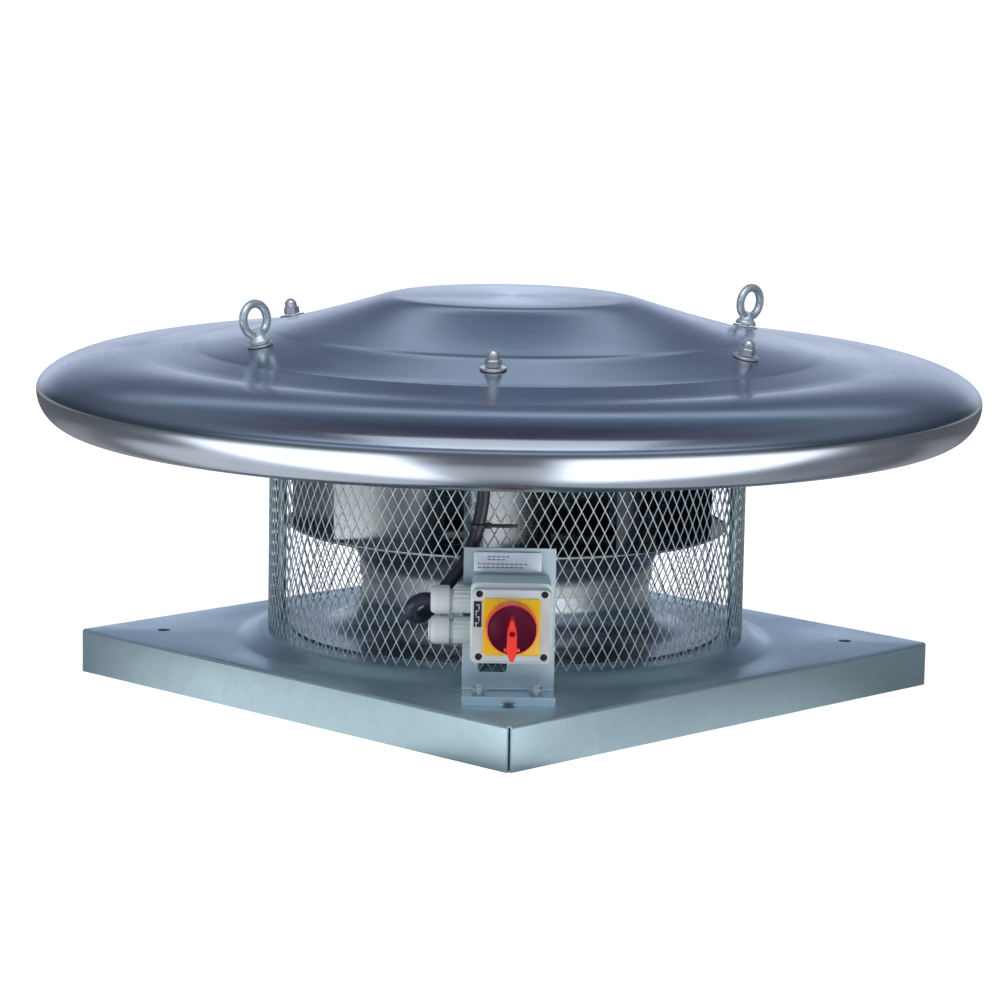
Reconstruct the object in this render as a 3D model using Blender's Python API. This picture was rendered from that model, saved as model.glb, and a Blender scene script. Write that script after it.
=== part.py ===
"""Roof exhaust fan: square base, wire guard, impeller with its motor, spun cowl and isolator switch.

The origin is the bottom centre of the base and +Z is the fan's axis. A "bearing" is an angle in
degrees round that axis, counted anticlockwise from the base corner that carries the switch.
"""

import math

import bmesh
import bpy
from mathutils import Matrix, Vector

# ---------------------------------------------------------------- driving dimensions, in metres
GAP = 0.0003
MERGE = 0.000001
SHARP_ANGLE = math.radians(35)
SWITCH_CORNER = 45.0  # turns a local -Y onto the (+X, -Y) diagonal

BASE_SIDE = 0.560
BASE_HEIGHT = 0.040
SHEET = 0.002
BOLT_PITCH = 0.450
BOLT_HOLE = 0.006
SLIT = 0.0016
CREASE_RADIUS = 0.249
RING_TOP = 0.050
RING_EDGE = 0.172

NECK_RADIUS = 0.132
CONE_SHEET = 0.0015
GUARD_RADIUS = 0.221
GUARD_SHEET = 0.0015
PLATE_BOTTOM = 0.226
PLATE_TOP = 0.229
PLATE_RADIUS = 0.264
LEG_RADIUS = 0.2115
LEG_BEARINGS = (-7.5, 82.5, 172.5, 262.5)

COWL_RADIUS = 0.4345
COWL_EQUATOR = 0.272
COWL_TOP = 0.359
DISC_RADIUS = 0.112
INNER_CREASE = (0.222, 0.327)
OUTER_CREASE = (0.292, 0.312)
RIM_START = (0.338, 0.3055)
LIP = (0.400, 0.238)

FIXING_RADIUS = 0.250
FIRST_FIXING = -4.0
FIXINGS = 6
EYES = (2, 5)  # the third and the sixth fixing carry the lifting eyes
STUD_RADIUS = 0.004
STUD_HOLE = 0.0046
WASHER_RADIUS = 0.012

IMPELLER_RADIUS = 0.202
SHROUD_EDGE = 0.146
EYE_RADIUS = 0.136
BACKPLATE_BOTTOM = 0.214
BLADES = 9
FIRST_BLADE = 28.5
BLADE_SWEEP = 27.0
SHAFT_RADIUS = 0.0095

MOTOR_RADIUS = 0.078
BEARING_RADIUS = 0.0235
REAR_BEARING_RADIUS = 0.020

BRACKET_WIDTH = 0.080
BRACKET_TOP = 0.1655
BRACKET_BACK = 0.2503
FOOT_END = 0.3115
FOOT_LIP = 0.0472
FOOT_BOLTS = (0.025, 0.262)

SWITCH_OFFSET = 0.0016
SWITCH_HEIGHT = 0.1076
BOX_WIDTH = 0.068
BOX_HEIGHT = 0.070
BOX_DEPTH = 0.042
LID_HEIGHT = 0.063
LID_FRONT = 0.0527
LID_SCREWS = (0.0278, 0.0272)
KNOB_CENTRE = -0.001
KNOB_RADIUS = 0.0223

GLAND_DEPTH = 0.268
GLAND_HEIGHTS = (0.123, 0.0964)
CABLE_RADIUS = 0.00575
GROMMET = (-0.023, 0.232)

GALVANISED = ((0.56, 0.60, 0.62), 0.38, 1.0)
ALUMINIUM = ((0.62, 0.65, 0.72), 0.30, 1.0)
ZINC = ((0.72, 0.75, 0.78), 0.28, 1.0)
STEEL = ((0.55, 0.55, 0.56), 0.32, 1.0)
MOTOR_PAINT = ((0.20, 0.22, 0.24), 0.50, 0.0)
GREY_PLASTIC = ((0.70, 0.74, 0.73), 0.45, 0.0)
YELLOW_PLASTIC = ((0.90, 0.68, 0.02), 0.40, 0.0)
RED_PLASTIC = ((0.62, 0.02, 0.05), 0.32, 0.0)
BLACK_PLASTIC = ((0.03, 0.03, 0.04), 0.45, 0.0)
COPPER = ((0.65, 0.33, 0.18), 0.40, 1.0)
LABEL = ((0.72, 0.76, 0.80), 0.35, 0.6)


# ---------------------------------------------------------------- outlines
def arc(centre, radii, start, end, count):
    """Points on an ellipse about a (radius, height) centre, from one angle to another."""
    angles = [math.radians(start + (end - start) * i / count) for i in range(count + 1)]
    return [(centre[0] + radii[0] * math.cos(a), centre[1] + radii[1] * math.sin(a)) for a in angles]


def thickened(line, thickness):
    """A closed outline: the open line, and the same line moved to its right by the thickness."""
    moved = []
    for i, point in enumerate(line):
        before = Vector(line[max(i - 1, 0)])
        after = Vector(line[min(i + 1, len(line) - 1)])
        here = Vector(point)
        directions = [d.normalized() for d in (here - before, after - here) if d.length > 0]
        along = sum(directions, Vector((0, 0))).normalized()
        stretch = 1.0 / max(along.dot(directions[0]), 0.5)
        moved.append(tuple(here + Vector((along.y, -along.x)) * thickness * stretch))
    return list(line) + moved[::-1]


def rounded_rectangle(width, height, corner, steps=3):
    """Corner points of a rectangle with round corners, anticlockwise about the origin."""
    points = []
    for i, (sx, sy) in enumerate(((1, 1), (-1, 1), (-1, -1), (1, -1))):
        centre = (sx * (width / 2 - corner), sy * (height / 2 - corner))
        points += arc(centre, (corner, corner), 90 * i, 90 * i + 90, steps)
    return points


def polygon(sides, radius, turn=0.0):
    """Corner points of a regular polygon."""
    return arc((0, 0), (radius, radius), turn, turn + 360 * (sides - 1) / sides, sides - 1)


# ---------------------------------------------------------------- meshes and objects
def finish(name, surface):
    """The node's own Principled material."""
    colour, roughness, metallic = surface
    material = bpy.data.materials.new(name)
    material.use_nodes = True
    shader = material.node_tree.nodes["Principled BSDF"]
    shader.inputs["Base Color"].default_value = (*colour, 1.0)
    shader.inputs["Roughness"].default_value = roughness
    shader.inputs["Metallic"].default_value = metallic
    return material


def new_object(name, shape, surface=None):
    """An object from a bmesh, in the scene's collection."""
    bmesh.ops.recalc_face_normals(shape, faces=shape.faces)
    mesh = bpy.data.meshes.new(name)
    shape.to_mesh(mesh)
    shape.free()
    thing = bpy.data.objects.new(name, mesh)
    bpy.context.scene.collection.objects.link(thing)
    if surface:
        mesh.materials.append(finish(name, surface))
    return thing


def turned(name, outline, surface=None, segments=32, closed=True):
    """Spins an outline of (radius, height) points round Z."""
    shape = bmesh.new()
    points = [shape.verts.new((radius, 0.0, height)) for radius, height in outline]
    ends = points[1:] + points[:1] if closed else points[1:]
    edges = [shape.edges.new(pair) for pair in zip(points, ends)]
    bmesh.ops.spin(
        shape,
        geom=points + edges,
        cent=(0, 0, 0),
        axis=(0, 0, 1),
        angle=math.tau,
        steps=segments,
        use_merge=True,
    )
    bmesh.ops.remove_doubles(shape, verts=shape.verts, dist=MERGE)
    return new_object(name, shape, surface)


def rod(name, radius, bottom, top, surface=None, segments=16):
    """A plain cylinder on Z."""
    outline = [(0, bottom), (radius, bottom), (radius, top), (0, top)]
    return turned(name, outline, surface, segments, closed=False)


def ring(name, inner, outer, bottom, top, surface=None, segments=20):
    """A plain tube on Z."""
    outline = [(inner, bottom), (outer, bottom), (outer, top), (inner, top)]
    return turned(name, outline, surface, segments)


def prism(name, outline, bottom, top, surface=None):
    """Extrudes an outline in the XY plane from one height to another."""
    shape = bmesh.new()
    face = shape.faces.new([shape.verts.new((x, y, bottom)) for x, y in outline])
    made = bmesh.ops.extrude_face_region(shape, geom=[face])
    raised = [item for item in made["geom"] if isinstance(item, bmesh.types.BMVert)]
    bmesh.ops.translate(shape, verts=raised, vec=(0, 0, top - bottom))
    return new_object(name, shape, surface)


def block(name, size, centre, surface=None, bevel=0.0):
    """A box, with all its edges bevelled if a bevel is given."""
    shape = bmesh.new()
    bmesh.ops.create_cube(shape, size=1.0, matrix=Matrix.Diagonal((*size, 1.0)))
    if bevel:
        bmesh.ops.bevel(shape, geom=shape.edges[:], offset=bevel, segments=2, profile=0.5, affect="EDGES")
    bmesh.ops.translate(shape, verts=shape.verts, vec=centre)
    return new_object(name, shape, surface)


def move(thing, matrix):
    """Moves an object's mesh, so that its origin stays where it is."""
    thing.data.transform(matrix)
    return thing


def boolean(body, tool, operation, solver="EXACT"):
    """Applies a Boolean to the body and removes the tool."""
    modifier = body.modifiers.new(operation.title(), "BOOLEAN")
    modifier.operation = operation
    modifier.solver = solver
    modifier.object = tool
    bpy.context.view_layer.update()
    graph = bpy.context.evaluated_depsgraph_get()
    result = bpy.data.meshes.new_from_object(body.evaluated_get(graph))
    body.modifiers.clear()
    body.data = result
    bpy.data.objects.remove(tool)
    return body


def cut(body, *tools):
    for tool in tools:
        boolean(body, tool, "DIFFERENCE")
    return body


def join(body, *tools, solver="EXACT"):
    for tool in tools:
        boolean(body, tool, "UNION", solver)
    return body


def empty(name, location=(0, 0, 0), rotation=(0, 0, 0), parent=None):
    """A frame for pieces, turned by angles in degrees."""
    frame = bpy.data.objects.new(name, None)
    frame.location = location
    frame.rotation_euler = [math.radians(angle) for angle in rotation]
    frame.parent = parent
    bpy.context.scene.collection.objects.link(frame)
    return frame


def spoke(name, bearing):
    """A frame on the fan's axis whose -Y points outwards at the bearing."""
    return empty(name, rotation=(0, 0, SWITCH_CORNER + bearing))


def place(frame, *things):
    for thing in things:
        thing.parent = frame


def along(direction, origin=(0, 0, 0)):
    """A matrix that lays a shape's Z along a direction."""
    turn = Vector(direction).to_track_quat("Z", "Y").to_matrix().to_4x4()
    return Matrix.Translation(origin) @ turn


# ---------------------------------------------------------------- base, cone, guard
def corner_slit(sx, sy):
    """The open seam between two skirts at a corner."""
    reach = 0.012
    tool = block("slit", (SLIT, reach * 2, BASE_HEIGHT), (0, 0, 0))
    turn = Matrix.Rotation(math.atan2(sy, sx) - math.pi / 2, 4, "Z")
    half = BASE_SIDE / 2
    return move(tool, Matrix.Translation((sx * half, sy * half, BASE_HEIGHT / 2 - 0.004)) @ turn)


def make_base():
    half = BASE_SIDE / 2
    shape = bmesh.new()
    bmesh.ops.create_cube(shape, size=1.0, matrix=Matrix.Diagonal((BASE_SIDE, BASE_SIDE, BASE_HEIGHT, 1.0)))
    bmesh.ops.translate(shape, verts=shape.verts, vec=(0, 0, BASE_HEIGHT / 2))
    top_edges = [edge for edge in shape.edges if min(v.co.z for v in edge.verts) > BASE_HEIGHT - MERGE]
    bmesh.ops.bevel(shape, geom=top_edges, offset=SHEET, segments=2, profile=0.5, affect="EDGES")
    base = new_object("base_plate", shape, GALVANISED)
    hollow_side = BASE_SIDE - 2 * SHEET
    hollow_height = BASE_HEIGHT - SHEET
    cut(base, block("hollow", (hollow_side, hollow_side, hollow_height * 2), (0, 0, 0)))
    cut(base, rod("mouth", CREASE_RADIUS + 0.001, 0.02, 0.06, segments=40))
    skin = BASE_HEIGHT - GAP
    outer_line = [(RING_EDGE, RING_TOP), (0.2255, RING_TOP), (0.231, 0.0492), (0.238, 0.0455)]
    outer_line += [(CREASE_RADIUS, skin), (CREASE_RADIUS + 0.010, skin)]
    raised = turned("raised_ring", thickened(outer_line, SHEET - 2 * GAP), segments=40)
    join(base, raised)
    for sx, sy in ((1, 1), (-1, 1), (-1, -1), (1, -1)):
        place_hole = Matrix.Translation((sx * BOLT_PITCH / 2, sy * BOLT_PITCH / 2, 0))
        cut(base, move(rod("hole", BOLT_HOLE, 0.03, 0.05), place_hole))
        cut(base, corner_slit(sx, sy))
    side = Matrix.Rotation(math.radians(SWITCH_CORNER), 4, "Z")
    for sx in (1, -1):
        spot = Matrix.Translation((sx * FOOT_BOLTS[0], -FOOT_BOLTS[1], 0))
        cut(base, move(rod("bolt_hole", 0.0033, 0.03, 0.05, segments=12), side @ spot))
    return base


def make_inlet_cone():
    bottom = RING_TOP + GAP
    mouth = arc((0.170, 0.088), (0.170 - NECK_RADIUS, 0.088 - bottom), 270, 180, 4)
    line = [(0.200, bottom)] + mouth + [(NECK_RADIUS, 0.104)]
    return turned("inlet_cone", thickened(line, CONE_SHEET), GALVANISED, 36)


def make_guard():
    inner = GUARD_RADIUS - GUARD_SHEET
    return ring("guard_mesh", inner, GUARD_RADIUS, RING_TOP + GAP, PLATE_BOTTOM - GAP, GALVANISED, 40)


def make_legs():
    for number, bearing in enumerate(LEG_BEARINGS, 1):
        leg = rod(f"support_leg_{number}", 0.004, RING_TOP + GAP, PLATE_BOTTOM - GAP, GALVANISED)
        frame = spoke(f"leg_bearing_{number}", bearing)
        leg.location = (0, -LEG_RADIUS, 0)
        place(frame, leg)


def make_motor_plate():
    plate = ring("motor_plate", 0.030, PLATE_RADIUS, PLATE_BOTTOM, PLATE_TOP, GALVANISED, 40)
    side = Matrix.Rotation(math.radians(SWITCH_CORNER), 4, "Z")
    hole = rod("cable_hole", 0.0083, 0.2, 0.25)
    cut(plate, move(hole, side @ Matrix.Translation((GROMMET[0], -GROMMET[1], 0))))
    neck, flange = 0.0080, 0.0095
    outline = [(0.0064, PLATE_BOTTOM - 0.002), (flange, PLATE_BOTTOM - 0.002), (flange, PLATE_BOTTOM - GAP)]
    outline += [(neck, PLATE_BOTTOM - GAP), (neck, PLATE_TOP + GAP), (flange, PLATE_TOP + GAP)]
    outline += [(flange, PLATE_TOP + 0.002), (0.0064, PLATE_TOP + 0.002)]
    grommet = turned("cable_grommet", outline, BLACK_PLASTIC, 16)
    grommet.location = (GROMMET[0], -GROMMET[1], 0)
    place(spoke("grommet_bearing", 0), grommet)


# ---------------------------------------------------------------- cowl and its fixings
def band_slope():
    return (INNER_CREASE[1] - OUTER_CREASE[1]) / (OUTER_CREASE[0] - INNER_CREASE[0])


def band_height(radius):
    """Height of the cowl's top face on the band between its two creases."""
    return INNER_CREASE[1] - band_slope() * (radius - INNER_CREASE[0])


def fixing_frame(name, bearing):
    """A frame on the band's top face whose Z is the band's normal and whose -Y runs down it."""
    tilt = math.degrees(math.atan(band_slope()))
    parent = spoke(f"{name}_bearing", bearing)
    height = band_height(FIXING_RADIUS)
    return empty(name, (0, -FIXING_RADIUS, height), (tilt, 0, 0), parent)


def cowl_line():
    """The cowl's outer face from its centre to its lip."""
    shoulder = (DISC_RADIUS + 0.006, COWL_TOP - 0.0015)
    line = [(0, COWL_TOP), (DISC_RADIUS, COWL_TOP), shoulder]
    line += [(0.168, 0.3408), INNER_CREASE, OUTER_CREASE]
    centre = (RIM_START[0], COWL_EQUATOR)
    line += arc(centre, (COWL_RADIUS - RIM_START[0], RIM_START[1] - COWL_EQUATOR), 90, 0, 6)
    line += arc((LIP[0], COWL_EQUATOR), (COWL_RADIUS - LIP[0], COWL_EQUATOR - LIP[1]), -22, -90, 3)
    return line


def make_cowl():
    outer = cowl_line()
    outline = thickened(outer, SHEET)
    inside = outline[len(outer):]
    inside[-1] = (0, COWL_TOP - SHEET)
    cowl = turned("cowl", outer + inside, ALUMINIUM, 44, closed=False)
    for number in range(FIXINGS):
        bearing = math.radians(SWITCH_CORNER + FIRST_FIXING + 60 * number)
        tilt = Matrix.Rotation(math.atan(band_slope()), 4, "X")
        spot = Matrix.Translation((0, -FIXING_RADIUS, band_height(FIXING_RADIUS)))
        tool = rod("fixing_hole", STUD_HOLE, -0.01, 0.01, segments=12)
        cut(cowl, move(tool, Matrix.Rotation(bearing, 4, "Z") @ spot @ tilt))
    return cowl


def make_cowl_bracket(number):
    """A folded strap from the motor plate to the cowl, with the fixing's stud on its top tab."""
    strap, half_width, inward = 0.003, 0.015, 0.237
    outside = PLATE_RADIUS - 0.002
    foot = PLATE_TOP + GAP
    drop = SHEET + GAP * 2
    tip = band_height(inward) - drop
    knee = band_height(outside) - drop
    corner = outside - strap
    side = [(-0.243, foot), (-outside, foot), (-outside, knee), (-inward, tip), (-inward, tip - strap)]
    side += [(-corner, band_height(corner) - drop - strap), (-corner, foot + strap), (-0.243, foot + strap)]
    bracket = prism(f"cowl_bracket_{number}", side, -half_width, half_width, GALVANISED)
    move(bracket, Matrix(((0, 0, 1, 0), (1, 0, 0, 0), (0, 1, 0, 0), (0, 0, 0, 1))))
    tilt = Matrix.Rotation(math.atan(band_slope()), 4, "X")
    spot = Matrix.Translation((0, -FIXING_RADIUS, band_height(FIXING_RADIUS)))
    stud = move(rod("stud", STUD_RADIUS, -0.0045, 0.011, segments=12), spot @ tilt)
    return join(bracket, stud)


def make_cap_nut(number):
    nut = prism(f"cap_nut_{number}", polygon(6, 0.0075), 0.0026, 0.0091, ZINC)
    dome = [(0, 0.008), (0.0058, 0.008), (0.0058, 0.0115)]
    dome += arc((0, 0.0115), (0.0058, 0.0060), 30, 90, 3)
    join(nut, turned("dome", dome, segments=16, closed=False))
    return cut(nut, rod("bore", 0.0043, 0, 0.0118, segments=12))


def make_lifting_eye(number):
    """An eye nut: a round collar on the stud and a ring whose hole faces along X."""
    collar = [(0, 0.0026), (0.010, 0.0026), (0.010, 0.0075), (0.0075, 0.011), (0.005, 0.014), (0, 0.014)]
    eye = turned(f"lifting_eye_{number}", collar, ZINC, 16, closed=False)
    hoop = turned("hoop", arc((0.014, 0), (0.004, 0.004), 0, 315, 7), segments=20)
    upright = Matrix.Translation((0, 0, 0.0245)) @ Matrix.Rotation(math.radians(90), 4, "Y")
    join(eye, move(hoop, upright))
    cut(eye, rod("bore", 0.0043, 0, 0.0118, segments=12))
    return move(eye, Matrix.Rotation(-math.radians(SWITCH_CORNER + FIRST_FIXING + 120), 4, "Z"))


def make_fixings():
    eyes = nuts = 0
    for index in range(FIXINGS):
        number = index + 1
        bearing = FIRST_FIXING + 60 * index
        frame = fixing_frame(f"fixing_{number}", bearing)
        washer = ring(f"cowl_washer_{number}", 0.0043, WASHER_RADIUS, GAP, 0.0023, STEEL, 16)
        if index in EYES:
            eyes += 1
            top = make_lifting_eye(eyes)
        else:
            nuts += 1
            top = make_cap_nut(nuts)
        place(frame, washer, top)
        place(frame.parent, make_cowl_bracket(number))


# ---------------------------------------------------------------- impeller and motor
def shroud_height(radius):
    """Height of the shroud's lower face at a radius, on a quarter ellipse from eye to edge."""
    across = (IMPELLER_RADIUS - radius) / (IMPELLER_RADIUS - EYE_RADIUS)
    return 0.108 + (SHROUD_EDGE - 0.108) * math.sqrt(max(1 - across * across, 0))


def blade(number):
    """A swept blade between the shroud and the back plate."""
    outer, inner, steps, half = 0.199, 0.141, 4, 0.0009
    shape = bmesh.new()
    rows = []
    for i in range(steps + 1):
        share = i / steps
        radius = outer + (inner - outer) * share
        turn = math.radians(FIRST_BLADE + 360 / BLADES * number + BLADE_SWEEP * share ** 0.9)
        middle = Vector((radius * math.sin(turn), -radius * math.cos(turn)))
        lean = math.radians(-48)
        normal = Vector((math.sin(turn + lean), -math.cos(turn + lean)))
        bottom = shroud_height(radius) + 0.0008
        corners = [(middle + normal * side, z) for side in (-half, half) for z in (bottom, BACKPLATE_BOTTOM + 0.001)]
        rows.append([shape.verts.new((point.x, point.y, z)) for point, z in corners])
    for first, second in zip(rows, rows[1:]):
        for a, b in ((0, 1), (1, 3), (3, 2), (2, 0)):
            shape.faces.new((first[a], first[b], second[b], second[a]))
    for row in (rows[0], rows[-1]):
        shape.faces.new((row[0], row[1], row[3], row[2]))
    return new_object("blade", shape)


def make_impeller(axis):
    curve = arc((IMPELLER_RADIUS, 0.108), (IMPELLER_RADIUS - EYE_RADIUS, SHROUD_EDGE - 0.108), 180, 90, 5)
    line = [(EYE_RADIUS, 0.099)] + curve + [(IMPELLER_RADIUS + 0.0016, SHROUD_EDGE + 0.0025)]
    impeller = turned("impeller", thickened(line, -0.0016), ALUMINIUM, 32)
    top = BACKPLATE_BOTTOM + 0.002
    wheel_parts = [blade(number) for number in range(BLADES)]
    wheel_parts.append(ring("backplate", 0.030, 0.203, BACKPLATE_BOTTOM, top, segments=32))
    join(impeller, *wheel_parts, solver="MANIFOLD")
    move(impeller, Matrix.Rotation(math.radians(SWITCH_CORNER), 4, "Z"))
    bore = SHAFT_RADIUS + GAP
    outline = [(bore, 0.190), (0.021, 0.190), (0.024, 0.193), (0.024, 0.2075), (0.045, 0.2075)]
    outline += [(0.045, 0.2137), (bore, 0.2137)]
    hub = turned("impeller_hub", outline, ALUMINIUM, 20)
    bolt = prism("hub_bolt", polygon(6, 0.0075), 0.176, 0.1815, ZINC)
    join(bolt, rod("bolt_flange", 0.013, 0.181, 0.1893, segments=20))
    join(bolt, rod("bolt_shank", 0.004, 0.185, 0.207, segments=12))
    shaft = rod("motor_shaft", SHAFT_RADIUS, 0.190, 0.337, STEEL, 24)
    cut(shaft, rod("thread", 0.0043, 0.18, 0.209, segments=12))
    place(axis, impeller, hub, bolt, shaft)


def make_rotating_motor_parts(axis):
    rotor = ring("rotor", SHAFT_RADIUS + GAP, 0.0443, 0.252, 0.300, STEEL, 32)
    fan = ring("cooling_fan", SHAFT_RADIUS + GAP, 0.018, 0.328, 0.337, BLACK_PLASTIC)
    for number in range(6):
        vane = block("vane", (0.0025, 0.048, 0.009), (0, 0.036, 0.3325))
        join(fan, move(vane, Matrix.Rotation(math.radians(60 * number), 4, "Z")))
    place(axis, rotor, fan)


def make_motor_body():
    foot = PLATE_TOP + GAP
    outline = [(0.012, foot), (0.088, foot), (0.088, foot + 0.0065), (MOTOR_RADIUS, 0.240), (0.030, 0.240)]
    pocket = BEARING_RADIUS + GAP
    outline += [(0.030, 0.2463), (pocket, 0.2463), (pocket, 0.232), (0.012, 0.232)]
    turned("drive_end_shield", outline, MOTOR_PAINT, 20)
    ring("drive_bearing", SHAFT_RADIUS + GAP, BEARING_RADIUS, 0.2323, 0.246, STEEL)
    ring("motor_housing", 0.070, MOTOR_RADIUS, 0.2403, 0.318, MOTOR_PAINT, 32)
    ring("stator", 0.045, 0.0697, 0.252, 0.300, COPPER, 32)
    pocket = REAR_BEARING_RADIUS + GAP
    outline = [(0.012, 0.326), (MOTOR_RADIUS - 0.002, 0.326), (MOTOR_RADIUS, 0.324), (MOTOR_RADIUS, 0.3183)]
    outline += [(0.026, 0.3183), (0.026, 0.3075), (pocket, 0.3075), (pocket, 0.3205), (0.012, 0.3205)]
    turned("rear_end_shield", outline[::-1], MOTOR_PAINT, 20)
    ring("rear_bearing", SHAFT_RADIUS + GAP, REAR_BEARING_RADIUS, 0.308, 0.3202, STEEL)
    outer = [(0.081, 0.305), (0.081, 0.340), (0.077, 0.345), (0.028, 0.345)]
    turned("fan_cover", thickened(outer, -0.0015), MOTOR_PAINT, 24)


def make_terminal_box(side):
    """The motor's connection box, with its lid on top and the gland in its front wall."""
    middle = -0.0965
    box = block("terminal_box", (0.056, 0.035, 0.042), (0, middle, 0.277), MOTOR_PAINT, 0.002)
    cut(box, block("hollow", (0.048, 0.027, 0.042), (0, middle, 0.281)))
    cut(box, move(rod("entry", 0.0083, -0.02, 0.02), along((0, -1, 0), (-0.015, -0.114, 0.279))))
    lid = block("terminal_box_lid", (0.056, 0.035, 0.003), (0, middle, 0.2998), MOTOR_PAINT)
    outline = [(0.0064, 0.0), (0.008, 0.0), (0.008, 0.0055), (0.011, 0.0055), (0.011, 0.022), (0.008, 0.025)]
    outline += [(0.0064, 0.025)]
    gland = turned("motor_gland", outline, GREY_PLASTIC, 16)
    gland.matrix_world = along((0, -1, 0), (-0.015, -0.109, 0.279))
    place(side, box, lid, gland)


# ---------------------------------------------------------------- switch
def make_bracket(side):
    """One folded sheet: a foot with a stiffening lip, and the upright that carries the switch."""
    floor = BASE_HEIGHT + GAP
    back, half = BRACKET_BACK, BRACKET_WIDTH / 2
    outline = [(-back, floor), (-FOOT_END, floor), (-FOOT_END, FOOT_LIP), (-FOOT_END + SHEET, FOOT_LIP)]
    outline += [(-FOOT_END + SHEET, floor + SHEET), (-back - SHEET, floor + SHEET)]
    outline += [(-back - SHEET, BRACKET_TOP), (-back, BRACKET_TOP)]
    bracket = prism("switch_bracket", outline, -half, half, GALVANISED)
    move(bracket, Matrix(((0, 0, 1, 0), (1, 0, 0, 0), (0, 1, 0, 0), (0, 0, 0, 1))))
    slot = prism("slot", rounded_rectangle(0.0254, 0.012, 0.003), -0.01, 0.01)
    cut(bracket, move(slot, along((0, -1, 0), (-0.0137, -back, 0.0623))))
    for number, sx in enumerate((-1, 1), 1):
        spot = Matrix.Translation((sx * FOOT_BOLTS[0], -FOOT_BOLTS[1], 0))
        cut(bracket, move(rod("bolt_hole", 0.0033, 0.03, 0.05, segments=12), spot))
        head = floor + SHEET + GAP
        bolt = rod(f"bracket_bolt_{number}", 0.003, 0.031, head + 0.002, ZINC, 12)
        join(bolt, rod("flange", 0.0065, head, head + 0.0012, segments=18))
        join(bolt, prism("head", polygon(6, 0.0052), head + 0.0008, head + 0.005))
        bolt.location = (sx * FOOT_BOLTS[0], -FOOT_BOLTS[1], 0)
        place(side, bolt)
    label = block("rating_label", (0.058, 0.0008, 0.017), (-0.002, -back - SHEET - 0.0008, 0.1535), LABEL)
    place(side, bracket, label)


def make_switch_case(face):
    """The isolator's case, in a frame whose Z points out of the bracket and whose Y is up."""
    case = prism("switch_box", rounded_rectangle(BOX_WIDTH, BOX_HEIGHT, 0.004), GAP, BOX_DEPTH, GREY_PLASTIC)
    inside = rounded_rectangle(BOX_WIDTH - 0.005, BOX_HEIGHT - 0.005, 0.003)
    cut(case, prism("hollow", inside, 0.003, 0.1))
    depth = GLAND_DEPTH - BRACKET_BACK - SHEET
    for height in GLAND_HEIGHTS:
        entry = rod("entry", 0.0083, -0.01, 0.01)
        cut(case, move(entry, along((-1, 0, 0), (-BOX_WIDTH / 2, height - SWITCH_HEIGHT, depth))))
    outline = rounded_rectangle(BOX_WIDTH, LID_HEIGHT, 0.004)
    lid = prism("switch_lid", outline, BOX_DEPTH + GAP, LID_FRONT, GREY_PLASTIC)
    cut(lid, rod("shaft_hole", 0.006, 0.03, 0.07, segments=16))
    for sx in (-1, 1):
        for sy in (-1, 1):
            spot = Matrix.Translation((sx * LID_SCREWS[0], sy * LID_SCREWS[1], 0))
            cut(lid, move(rod("screw_well", 0.0031, LID_FRONT - 0.006, 0.07, segments=12), spot))
    outline = rounded_rectangle(0.049, 0.049, 0.002, 2)
    plate = prism("switch_plate", outline, LID_FRONT + GAP, LID_FRONT + 0.0015, YELLOW_PLASTIC)
    move(plate, Matrix.Translation((0, KNOB_CENTRE, 0)))
    cut(plate, rod("shaft_hole", 0.006, 0.03, 0.07, segments=16))
    contacts = block("contact_block", (0.040, 0.042, 0.028), (0, 0, 0.0175), BLACK_PLASTIC, 0.001)
    cut(contacts, rod("shaft_bore", 0.0034, 0.02, 0.04, segments=16))
    place(face, case, lid, plate, contacts)


def make_handle(axis):
    """The rotary handle, its padlock slide and its shaft, in a frame on the switch's axis."""
    foot = LID_FRONT + 0.0018
    skirt = [(0, foot), (KNOB_RADIUS, foot), (KNOB_RADIUS, foot + 0.004), (0.0202, foot + 0.008)]
    skirt += [(0.0192, foot + 0.016), (0.0175, foot + 0.0175), (0.014, foot + 0.0155), (0, foot + 0.0145)]
    handle = turned("switch_handle", skirt, RED_PLASTIC, 24, closed=False)
    bar = [(0.0012, 0.0155), (-0.0012, 0.0155), (-0.0046, 0.003), (-0.0046, -0.0165), (-0.0015, -0.0225)]
    bar += [(0.0015, -0.0225), (0.0046, -0.0165), (0.0046, 0.003)]
    join(handle, prism("bar", bar, foot + 0.006, foot + 0.036))
    slot_front = foot + 0.0335
    cut(handle, block("slide_slot", (0.0036, 0.022, 0.0062), (0, -0.0182, slot_front - 0.0030)))
    cut(handle, block("wing_slot", (0.02, 0.0100, 0.0046), (0, -0.0142, slot_front - 0.0030)))
    cut(handle, rod("shaft_bore", 0.0033, 0, foot + 0.012, segments=16))
    cut(handle, rod("front_hole", 0.0026, foot + 0.030, 0.1, segments=16))
    slide = block("padlock_slide", (0.0030, 0.0135, 0.0040), (0, -0.0167, slot_front - 0.0030), RED_PLASTIC)
    join(slide, block("wings", (0.0135, 0.0034, 0.0036), (0, -0.0114, slot_front - 0.0030)))
    spindle = rod("switch_shaft", 0.003, 0.024, foot + 0.0115, STEEL)
    place(axis, handle, slide, spindle)


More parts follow.
